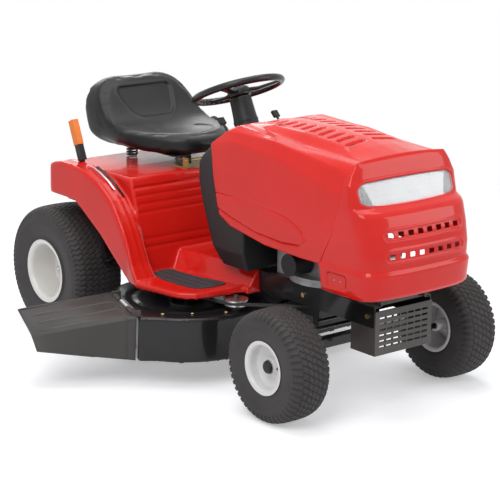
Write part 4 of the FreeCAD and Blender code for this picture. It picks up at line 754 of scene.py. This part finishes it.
# ---- nose and headlights
def nose_surface(rows, columns, inset=0.0):
    """Points of the nose cap: rows go up from the lower edge, columns round the front."""
    height = np.linspace(0, 1, rows)
    z = 420 + 421 * height
    width = np.interp(z, [420, 428, 500, 510, 560, 701, 770, 804, 826, 838, 841],
                      [229, 231.5, 231.5, 226, 226, 229, 228, 212, 196, 188, 184]) - inset
    face = np.interp(z, [420, 430, 500, 512, 557, 623, 680, 692, 701, 782, 800, 822, 834, 841],
                     [-1508, -1515, -1523, -1516, -1518, -1506, -1489, -1477, -1452, -1413, -1407,
                      -1400, -1393, -1387]) + inset
    seam = np.interp(z, [417, 500, 701, 798, 840], [-1285, -1268.3, -1353.3, -1374.3, -1386.3])
    for line in (width, face):
        line[2:-2] = np.convolve(line, [0.1, 0.2, 0.4, 0.2, 0.1], "valid")
    out = np.zeros((rows, columns, 3))
    for row in range(rows):
        w, f, back = width[row], face[row], seam[row]
        depth = back - f
        half = [(-w, back), (-w, f + depth * 0.62), (-w, f + min(72, depth * 0.5)),
                (-w * 0.965, f + min(36, depth * 0.32)), (-w * 0.80, f + min(12, depth * 0.12)),
                (-w * 0.4, f + min(2.5, depth * 0.03)), (0, f)]
        plan = rounded(half + [(-x, y) for x, y in half[-2::-1]], 3)
        length = run_along(plan)
        at = np.linspace(0, length[-1], columns)
        out[row, :, 0] = np.interp(at, length, plan[:, 0])
        out[row, :, 1] = np.interp(at, length, plan[:, 1])
        out[row, :, 2] = z[row]
    crown = 9 * (1 - np.clip(np.abs(out[..., 0]) / 186, 0, 1) ** 2)
    out[..., 2] += crown * soft_step(790, 836, out[..., 2])
    return out


def outward(points):
    """The level direction away from the nose's surface at each point."""
    slope = np.gradient(points, axis=1)
    along = slope / np.linalg.norm(slope, axis=-1, keepdims=True)
    return np.stack([along[..., 1], -along[..., 0], 0 * along[..., 2]], -1)


LAMP_REAR = -1380


def lamp_window(x, z):
    """How far inside the headlight opening a point is, in millimetres."""
    half = np.interp(z, [700, 715, 760, 784], [186, 205, 207, 196])
    low = 702 + 3 * (np.abs(x) / 190) ** 2
    high = 785 - 5 * (np.abs(x) / 190) ** 2
    corner = 24
    dx = half - np.abs(x)
    dz = np.minimum(z - low, high - z)
    near = (dx < corner) & (dz < corner)
    round_off = corner - np.sqrt((corner - dx) ** 2 + (corner - dz) ** 2)
    return np.where(near, round_off, np.minimum(dx, dz))


def nose():
    """The nose cap with its lamp recess, two rows of vents and the hinge's arms."""
    points = nose_surface(210, 330)
    x, y, z = (points[..., k].copy() for k in range(3))
    out = outward(points)
    lamp = soft_step(0.5, 6, lamp_window(x, z)) * (y < LAMP_REAR)
    rim = ridge(lamp_window(x, z) + 3.5, 3.0) * (y < -1385)
    move = -20 * lamp + 1.8 * rim
    holes = np.zeros_like(x)
    front_only = y < -1440
    for middle in (623, 557):
        across = np.maximum(np.abs(x) - 152, 0)
        ring = np.sqrt(across ** 2 + (z - middle) ** 2)
        raised = 2.4 * ridge(ring - 19, 3.2)
        move += front_only * (raised - 1.6 * (1 - soft_step(14, 18, ring)))
        for index in range(8):
            spot = (index - 3.5) * 40
            dx = np.maximum(np.abs(x - spot) - 8.5, 0)
            dz = np.maximum(np.abs(z - middle) - 6, 0)
            holes = np.maximum(holes, front_only * (1 - soft_step(2.4, 3.6, np.hypot(dx, dz))))
    side = np.abs(x) > 215
    panel_y = np.maximum(np.abs(y + 1352) - 34, 0)
    panel = np.hypot(panel_y, np.maximum(np.abs(z - 462) - 12, 0))
    move += side * (-4 * (1 - soft_step(8, 14, panel)))
    points = points + out * move[..., None]
    mesh = grid("nose_cap", points, flip=True)
    obj = piece("nose_cap", mesh, RED, "hood", "hood_nose")
    painted(mesh, CHROME, lamp, 0.6)
    gap = ((holes[:-1, :-1] + holes[1:, 1:]) > 1.0).ravel()
    with editing(mesh) as tool:
        tool.faces.ensure_lookup_table()
        bmesh.ops.delete(tool, geom=[tool.faces[i] for i in np.flatnonzero(gap)],
                         context="FACES")
    sheet(obj, 3)
    bar("hinge_pin", [(-109, -1405, 397), (109, -1405, 397)], 5.9, STEEL, "hood")
    rivet = [(0, 0), (0, 5), (1.5, 4.4), (3, 2.4), (3.4, 0)]
    for name, sign in SIDES:
        for index, spot_y in enumerate((-1340, -1368)):
            turned(f"nose_rivet_{name}_{index}", rivet, (sign * 227.6, spot_y, 462), STEEL,
                   "hood", side=sign, steps=20)
        soft_box(f"hinge_arm_{name}", (sign * 108, -1405, 415), (6, 30, 58), RED, "hood")
        soft_box(f"hinge_web_{name}", (sign * 165, -1405, 438), (116, 30, 4), RED, "hood", edge=1.2)


def headlights():
    """The clear cover over a silver reflector with pressed facets."""
    whole = nose_surface(420, 330)
    lamp = lamp_window(whole[..., 0], whole[..., 2])
    rows = np.flatnonzero((lamp > 0).any(1))
    columns = np.flatnonzero(((lamp > 0) & (whole[..., 1] < LAMP_REAR)).any(0))
    part = whole[rows[0]:rows[-1] + 1, columns[0]:columns[-1] + 1]
    inside = lamp[rows[0]:rows[-1] + 1, columns[0]:columns[-1] + 1]
    out = outward(part)
    keep = ((inside[:-1, :-1] + inside[1:, 1:]) > 1.0).ravel()
    x, z = part[..., 0], part[..., 2]
    faces = grid_faces(*part.shape[:2])[keep][:, ::-1]
    lens = part + out * (1.2 * soft_step(0, 8, inside) - 1.5)[..., None]
    mesh = mesh_of("headlight_cover", lens.reshape(-1, 3), faces)
    cover = piece("headlight_cover", mesh, LENS, "hood", "headlight_lens")
    sheet(cover, 2)
    bowl = np.hypot((np.abs(x) - 92) / 88, (z - 742) / 40)
    flute = 0.7 * np.cos(x / 6 * np.pi) + 0.5 * np.cos(z / 8 * np.pi)
    facet = 0.6 * np.sign(np.sin(x / 23 + z / 31)) * (np.abs(x) < 186)
    deep = 7 + 7 * np.clip(1 - bowl ** 2, 0, 1)
    back = part - out * (deep + flute + facet)[..., None]
    mesh = mesh_of("headlight_mirror", back.reshape(-1, 3), faces)
    piece("headlight_mirror", mesh, CHROME, "hood", "headlight_reflector")


nose()
headlights()


# ---- fender and running boards
ARCH = [(79, 535), (7, 638), (-20, 648), (-55, 655), (-130, 655), (-204, 648), (-300, 615),
        (-374, 568), (-420, 516), (-450, 470), (-505, 360), (-545, 314), (-800, 314), (-812, 289),
        (-560, 289), (-483, 296), (-435, 331), (-307, 431), (-156, 523), (20, 530)]
MIDDLE = [(79, 535), (7, 640), (-385, 640), (-405, 592), (-447, 453), (-462, 383), (-480, 314),
          (-839, 314), (-839, 289), (-460, 289), (-300, 440), (20, 530)]
PLAN = [(425, 2), (425, -480), (437, -548), (418, -650), (402, -740), (358, -787), (309, -799),
        (176, -814), (176, -838)]
RECESS = 345


def fender():
    """Both arches, the seat deck, the running boards and the hump between them, in one sheet."""
    plan = mirrored([(380, 78)] + PLAN)
    solid = combined(prism(ARCH, "x", -437, 437),
                     ("DIFFERENCE", prism([(200, 0), (200, 900), (-900, 900), (-900, 0)], "x",
                                          -RECESS, RECESS)),
                     ("UNION", prism(MIDDLE, "x", -RECESS - 0.01, RECESS + 0.01)),
                     ("INTERSECT", prism(plan, "z", 200, 800)))
    hump = []
    for y, foot in ((-457, 229.5), (-838, 168)):
        hump += [(-foot, y, 312), (-foot + 40, y, 377), (foot - 40, y, 377), (foot, y, 312)]
    hump = mesh_of("hump", hump, [(0, 1, 2, 3), (7, 6, 5, 4), (0, 4, 5, 1), (1, 5, 6, 2),
                                  (2, 6, 7, 3), (3, 7, 4, 0)])
    solid = combined(solid, ("UNION", closed(hump)))

    def shape(points):
        x, y, z = points.T
        ax = np.abs(x)
        edge = np.interp(y, [-838, -814, -799, -787, -740, -650, -548, -480, 2],
                         [176, 176, 309, 358, 402, 418, 437, 425, 425]) - ax
        top = (y < -560) & (z > 306) & (ax > 176)
        grooves = (3.0 * ridge(edge - 15, 4.5)
                   + 2.0 * ridge(edge - 30, 4))
        mat_zone = soft_step(34, 40, edge) * (z < 330)
        z2 = z - top * (grooves + 1.2 * mat_zone)
        panel = (y > -545) & (ax > RECESS - 12)
        bead = panel * (2.8 * ridge(ax - 360, 6.5) + 2.0 * ridge(ax - 384, 5.5)
                        * (y < -380))
        rim = panel * 2.5 * ridge(edge - 9, 5)
        lift = bead + rim
        slope = np.clip((-y - 300) / 160, 0, 1)
        y2 = y - lift * 0.8 * slope * (z > 320)
        z2 = z2 + lift * (1 - 0.5 * slope) * (z > 400)
        wall = (ax < RECESS - 12) & (y < -375) & (y > -490) & (z < 628) & (z > 330)
        for line, depth in ((604, 6), (576, 3), (548, 3), (520, 3), (430, 3), (402, 5)):
            y2 = y2 + wall * depth * ridge(z - line, 4.2)
        return np.stack([x, y2, z2], -1)

    mesh = moulded(solid, 5.0, 5, shape)
    mesh = trimmed(mesh, lambda c, n: n.z < -0.45 or (abs(c[1] + 838) < 6 and abs(c[0]) < 120))
    obj = piece("fender_body", mesh, RED, "chassis", "fender")
    sheet(obj, 3)
    slit = [(-204, 653), (-250, 641), (-300, 619), (-340, 594), (-372, 571)]
    for name, line, middle, half, above, mat in (
        ("lever_slot", slit, -360, 5, 1.2, SATIN_BLACK),
        ("lever_strip", slit[:4], -378, 4, 1.6, STEEL),
    ):
        band = [(middle + dx, y, z + above) for y, z in line for dx in (-half, half)]
        quads = [(2 * i, 2 * i + 1, 2 * i + 3, 2 * i + 2) for i in range(len(line) - 1)]
        piece(name, mesh_of(name, band, quads), mat, "chassis")


def foot_mats():
    """Rubber mats with slanting ribs."""
    outline = [(341, -420), (240, -428), (232, -610), (192, -742), (210, -754), (290, -758),
               (341, -715)]
    ribbed = [(334, -430), (247, -436), (238, -612), (202, -740), (214, -747), (287, -750),
              (334, -710)]
    rib_count, rib_pitch, rib_width = 26, 17, 8
    for name, sign in SIDES:
        base, inner = ([(sign * x, y) for x, y in rounded(line, 2, closed=True)]
                       for line in (outline, ribbed))
        slabs = []
        for index in range(rib_count):
            low, high = -830 + index * rib_pitch, -750 + index * rib_pitch
            slabs.append(prism([(sign * 150, low), (sign * 420, high),
                                (sign * 420, high + rib_width), (sign * 150, low + rib_width)],
                               "z", 314, 318.4))
        ribs = combined(slabs[0], *[("UNION", slab) for slab in slabs[1:]],
                        ("INTERSECT", prism(inner, "z", 300, 330)))
        whole = combined(prism(base, "z", 313, 316.5), ("UNION", ribs))
        piece(f"foot_mat_{name}", whole, MAT, "chassis", *(["foot_mats"] if sign < 0 else []),
              smooth=False, slot="mat_rubber")


fender()
foot_mats()


# ---- dash pedestal and column
def dash():
    """The pedestal, the column's cover and, leaning with it, the steering wheel."""
    outline = [(-866, 379), (-735, 379), (-700, 440), (-665, 523), (-636, 599), (-619, 668),
               (-619, 722), (-658, 774), (-704, 821), (-775, 845), (-866, 822)]
    section = mirrored([(202, 379), (221, 440), (221, 752), (200, 796), (179, 843), (152, 870)])
    solid = combined(prism(outline, "x", -222, 222), ("INTERSECT", prism(section, "y", -900, -600)))

    def shape(points):
        x, y, z = points.T
        back = (y > -790) & (z > 400) & (z < 700)
        groove = back * (3.0 * ridge(np.abs(x) - 170, 5)
                         + 3.0 * ridge(np.abs(x) - 60, 5) * (z < 640))
        return np.stack([x, y - groove, z], -1)

    mesh = moulded(solid, 5.0, 5, shape)
    mesh = trimmed(mesh, lambda c, n: n.z < -0.6)
    obj = piece("dash_shell", mesh, BLACK_PLASTIC, "chassis", "dash_pedestal")
    sheet(obj, 3)
    lean = math.radians(23.3)
    centre = np.array([0, -559, 942.0])
    turn = Matrix.Rotation(-lean, 3, "X").to_quaternion()
    cover = [(-200, 12), (-200, 52), (-196, 52), (-150, 46), (-120, 43), (-112, 45), (-106, 42),
             (-60, 39.5), (-34, 39), (-27, 38), (-27, 12)]
    turned("column_cover", cover, centre, BLACK_PLASTIC, "chassis", "steering_column", axis="z",
           turn=turn)
    wheel(centre, turn)


def wheel(centre, turn):
    """A thick black rim with finger bumps inside, three spokes and a dished hub."""
    around = np.linspace(0, 2 * np.pi, 480, endpoint=False)
    small = np.linspace(0, 2 * np.pi, 28, endpoint=False)
    big, tiny = np.meshgrid(around, small, indexing="ij")
    inward = np.clip(-np.cos(tiny), 0, 1)
    radius = 12.7 * (1 - 0.16 * inward * (0.5 + 0.5 * np.cos(big * 40)))
    reach = 155 + radius * np.cos(tiny)
    spots = np.stack([reach * np.cos(big), reach * np.sin(big), radius * np.sin(tiny)], -1)
    matrix = np.array(turn.to_matrix())
    mesh = grid("wheel_rim", spots @ matrix.T + centre, wrap_rows=True, wrap_columns=True)
    piece("wheel_rim", mesh, SATIN_BLACK, "steering", "steering_wheel", "steering_shaft")
    hub = [(-26, 0), (-26, 36), (-20, 42), (0, 40), (8, 34), (10, 22), (7, 18), (7, 0)]
    turned("wheel_hub", hub, centre, SATIN_BLACK, "steering", axis="z", turn=turn, rounds=2)
    turned("wheel_shaft", [(-540, 0), (-540, 9.4), (-24, 9.4), (-24, 0)], centre, STEEL, "steering",
           axis="z", turn=turn, rounds=0)
    for index, angle in enumerate((90, 210, 330)):
        a = math.radians(angle)
        lengths = np.linspace(30, 150, 25)
        width = np.interp(lengths, [30, 60, 110, 150], [19, 14, 15, 21])
        height = np.interp(lengths, [30, 70, 150], [-6, -9, -1])
        thick = np.interp(lengths, [30, 150], [7, 5])
        loop = np.linspace(0, 2 * np.pi, 20, endpoint=False)
        wide, tall = (np.sign(wave) * np.abs(wave) ** 0.6 for wave in (np.cos(loop), np.sin(loop)))
        points = np.zeros((25, 20, 3))
        points[..., 0] = lengths[:, None]
        points[..., 1] = width[:, None] * wide
        points[..., 2] = height[:, None] + thick[:, None] * tall
        spin = np.array([[math.cos(a), -math.sin(a), 0], [math.sin(a), math.cos(a), 0], [0, 0, 1]])
        points = points @ spin.T @ matrix.T + centre
        piece(f"wheel_spoke_{index}", grid(f"wheel_spoke_{index}", points, wrap_columns=True),
              SATIN_BLACK, "steering")


dash()


# ---- seat
def seat():
    """The moulded vinyl seat: its body swells as cloth, then gets its recess, dish and creases."""
    outline = [(-390, 692), (-410, 714), (-406, 750), (-362, 765), (-270, 756), (-130, 757),
               (-62, 781), (14, 872), (46, 917), (80, 928), (104, 905), (90, 800), (48, 716),
               (-50, 692)]
    front = mirrored([(150, 692), (220, 702), (230, 745), (225, 800), (214, 846), (190, 886),
                      (150, 914), (90, 929)])
    plan = mirrored([(196, 112), (231, 70), (228, -160), (204, -244), (160, -318), (104, -380),
                     (40, -412)])
    outline, front, plan = ([tuple(p) for p in rounded(line, 2, closed=True)]
                            for line in (outline, front, plan))
    solid = combined(prism(outline, "x", -230, 230), ("INTERSECT", prism(front, "y", -600, 300)),
                     ("INTERSECT", prism(plan, "z", 600, 1000)))

    def shape(points):
        x, y, z = points.T
        back = (z > 770) & (y < 0.45 * (z - 900) + 72)
        flare = 76 + 0.4 * (z - 836)
        panel = np.hypot(np.maximum(np.abs(x) - flare, 0), np.maximum(np.abs(z - 836) - 16, 0))
        rim = 3.0 * ridge(panel - 40, 5)
        recess = back * (7 * (1 - soft_step(30, 38, panel)) - rim)
        top = (z > 735) & (y < -60)
        dish = top * 12 * np.exp(-((x / 120) ** 2 + ((y + 235) / 110) ** 2) ** 1.5)
        curl = np.hypot(x / 120, (y + 250) / 95)
        crescent = top * 4.5 * ridge(curl - 1.0, 0.07) * (y < -190)
        return np.stack([x, y + recess * 0.9, z - recess * 0.25 - dish - crescent], -1)

    mesh = moulded(solid, 7.0, 14)
    obj = placed("loose", mesh)
    last_frame, most = 15, 5.0
    start, _ = arrays_of(mesh)
    cloth = with_modifier(obj, "CLOTH")
    cloth.settings.use_pressure = True
    cloth.settings.uniform_pressure_force = 3.0
    cloth.settings.tension_stiffness = 40
    cloth.settings.compression_stiffness = 40
    cloth.settings.effector_weights.gravity = 0
    scene = bpy.context.scene
    for number in range(1, last_frame + 1):
        scene.frame_set(number)
    graph = bpy.context.evaluated_depsgraph_get()
    swollen, _ = arrays_of(obj.evaluated_get(graph).to_mesh())
    scene.frame_set(1)
    obj.modifiers.remove(cloth)
    move = swollen - start
    far = np.maximum(np.linalg.norm(move, axis=1), 1e-6)
    put_points(obj.data, start + move * np.minimum(1, most / far)[:, None])
    with_modifier(obj, "SUBSURF", levels=1, render_levels=1)
    mesh = baked(obj)
    points, edges = arrays_of(mesh)
    put_points(mesh, relaxed(shape(points), edges, 2, 0.4))
    cushion = piece("seat_moulding", mesh, VINYL, "seat", "seat_cushion")


seat()


# ---- mower deck and chute
HINGE_FRONT = np.array([-548.0, -720, 0])
HINGE_REAR = np.array([-445.0, -429, 0])
HINGE_ALONG = (HINGE_REAR - HINGE_FRONT) / np.linalg.norm(HINGE_REAR - HINGE_FRONT)
HINGE_OUT = np.array([-HINGE_ALONG[1], HINGE_ALONG[0], 0])
SPINDLES = ((-262, -603), (262, -566))


def circle(x, y, radius, steps=64):
    """The corners of a circle as an outline."""
    turn = np.linspace(0, 2 * np.pi, steps, endpoint=False)
    return [(x + radius * math.cos(a), y + radius * math.sin(a)) for a in turn]


def deck():
    """The pressed shell, open below and at its mouth."""
    foot, top_level, high = 90, 238, 247
    first, second = (circle(x, y, 283) for x, y in SPINDLES)
    between = [(-262, -886), (262, -849), (262, -283), (-262, -320)]
    corner = [(-548, -720), (-484, -769), (-380, -840), (-300, -800), (-300, -429), (-445, -429)]
    away = HINGE_OUT * 400
    a = HINGE_FRONT - HINGE_ALONG * 300
    b = HINGE_REAR + HINGE_ALONG * 300
    beyond = [(p[0], p[1]) for p in (a, b, b + away, a + away)]
    solid = combined(prism(first, "z", foot, high),
                     *[("UNION", prism(part, "z", foot, high))
                       for part in (second, between, corner)],
                     ("DIFFERENCE", prism(beyond, "z", 0, 600)))

    def shape(points):
        x, y, z = points.T
        ring = np.zeros_like(x)
        for sx, sy in SPINDLES:
            away = np.hypot(x - sx, y - sy)
            ring += 4 * (1 - soft_step(95, 112, away)) - 3 * ridge(away - 190, 14)
        return np.stack([x, y, z + (z > top_level) * np.minimum(ring, 0)], -1)

    mesh = moulded(solid, 6.0, 6, shape)

    def drop(centre, normal):
        if normal.z < -0.5:
            return True
        off = centre - HINGE_FRONT
        along = off @ HINGE_ALONG
        out = off @ HINGE_OUT
        return abs(out) < 14 and 34 < along < 275 and centre[2] < 225 and abs(normal.z) < 0.5

    mesh = trimmed(mesh, drop)
    obj = piece("deck_pan", mesh, BLACK_PAINT, "deck", "deck_shell")
    sheet(obj, 3)
    bolt = [(0, 0), (0, 7), (4, 7), (5, 5.5), (5, 0)]
    for index, (x, y) in enumerate(((-462, -739), (-378, -794), (-278, -850), (-128, -852))):
        turned(f"deck_bolt_{index}", bolt, (x, y, high), ZINC, "deck", axis="z", steps=6, rounds=0)


def chute():
    """A ribbed plastic deflector between its hinge and its free edge."""
    up = np.array([0, 0, 1.0])
    start = HINGE_OUT * 5
    lift = up * 250
    rear = HINGE_REAR + start + lift - HINGE_ALONG * 3
    front = HINGE_FRONT + start + lift + HINGE_ALONG * 3
    foot = HINGE_FRONT + start + up * 92 + HINGE_ALONG * 23
    reach = -825.0  # the free edge
    near = np.array([rear, front, foot])
    far = np.array([(reach, -403, 249), (reach, -491, 180), (reach, -522, 131)])
    columns, rows = 120, 130
    share = np.linspace(0, 1, columns)

    def spread(line, split):
        t = np.concatenate([share * split, split + (1 - split) * share[1:]])
        return np.stack([np.interp(t, [0, split, 1], line[:, k]) for k in range(3)], -1)

    fold = 0.62
    inner, outer = spread(near, fold), spread(far, fold)
    count = inner.shape[0]
    reach_of_bend = 11
    kernel = np.hanning(2 * reach_of_bend + 1)
    kernel /= kernel.sum()
    for line in (inner, outer):
        for k in range(3):
            line[reach_of_bend:-reach_of_bend, k] = np.convolve(line[:, k], kernel, "valid")
    u = np.linspace(0, 1, rows)[:, None, None]
    points = inner[None] * (1 - u) + outer[None] * u
    slope_u = np.gradient(points, axis=0)
    slope_v = np.gradient(points, axis=1)
    normal = np.cross(slope_v, slope_u)
    normal /= np.linalg.norm(normal, axis=-1, keepdims=True)
    normal *= np.sign(normal[..., 2:3] + 1e-9)
    v = np.linspace(0, 1, count)[None, :]
    uu = np.linspace(0, 1, rows)[:, None]
    ribs = np.zeros((rows, count))
    for place in (0.16, 0.31, 0.46):
        ribs = ribs + 3.0 * ridge(v - place, 0.011) * soft_step(0.05, 0.09, uu) * (
            1 - soft_step(0.86, 0.9, uu))
    edge = np.minimum(np.minimum(uu, 1 - uu) * 1.6, np.minimum(v, 1 - v))
    lip = 2.2 * (1 - soft_step(0.012, 0.022, edge))
    cross = 2.4 * ridge(uu - 0.08, 0.014)
    points = points + normal * np.minimum(ribs + lip + cross, 3.2)[..., None]
    points[..., 0] = np.maximum(points[..., 0], reach - 1.5)
    points[..., 2] = np.minimum(points[..., 2], 262)
    mesh = grid("chute_deflector", points)
    obj = piece("chute_deflector", mesh, CHUTE, "chute", "discharge_chute")
    sheet(obj, 4)
    base = HINGE_FRONT + HINGE_OUT * 10 + up * 256
    hinge = HINGE_ALONG * np.linalg.norm(HINGE_REAR - HINGE_FRONT)
    for index, place in enumerate((0.1, 0.62)):
        line = [base + hinge * place, base + hinge * (place + 0.22)]
        bar(f"chute_knuckle_{index}", line, 8, CHUTE, "chute")
    bar("chute_pin", [base + HINGE_ALONG * 13, base + HINGE_ALONG * 296], 4, STEEL, "deck")
    coils = 12
    turns = np.linspace(0, 1, 400)
    angle = turns * 2 * np.pi * coils
    side = np.cross(HINGE_ALONG, up)
    helix = (base + hinge * (0.34 + 0.26 * turns[:, None])
             + side * 5.4 * np.cos(angle)[:, None] + up * 5.4 * np.sin(angle)[:, None])
    bar("chute_spring", helix, 1.3, STEEL, "deck", sides=8)


deck()
chute()
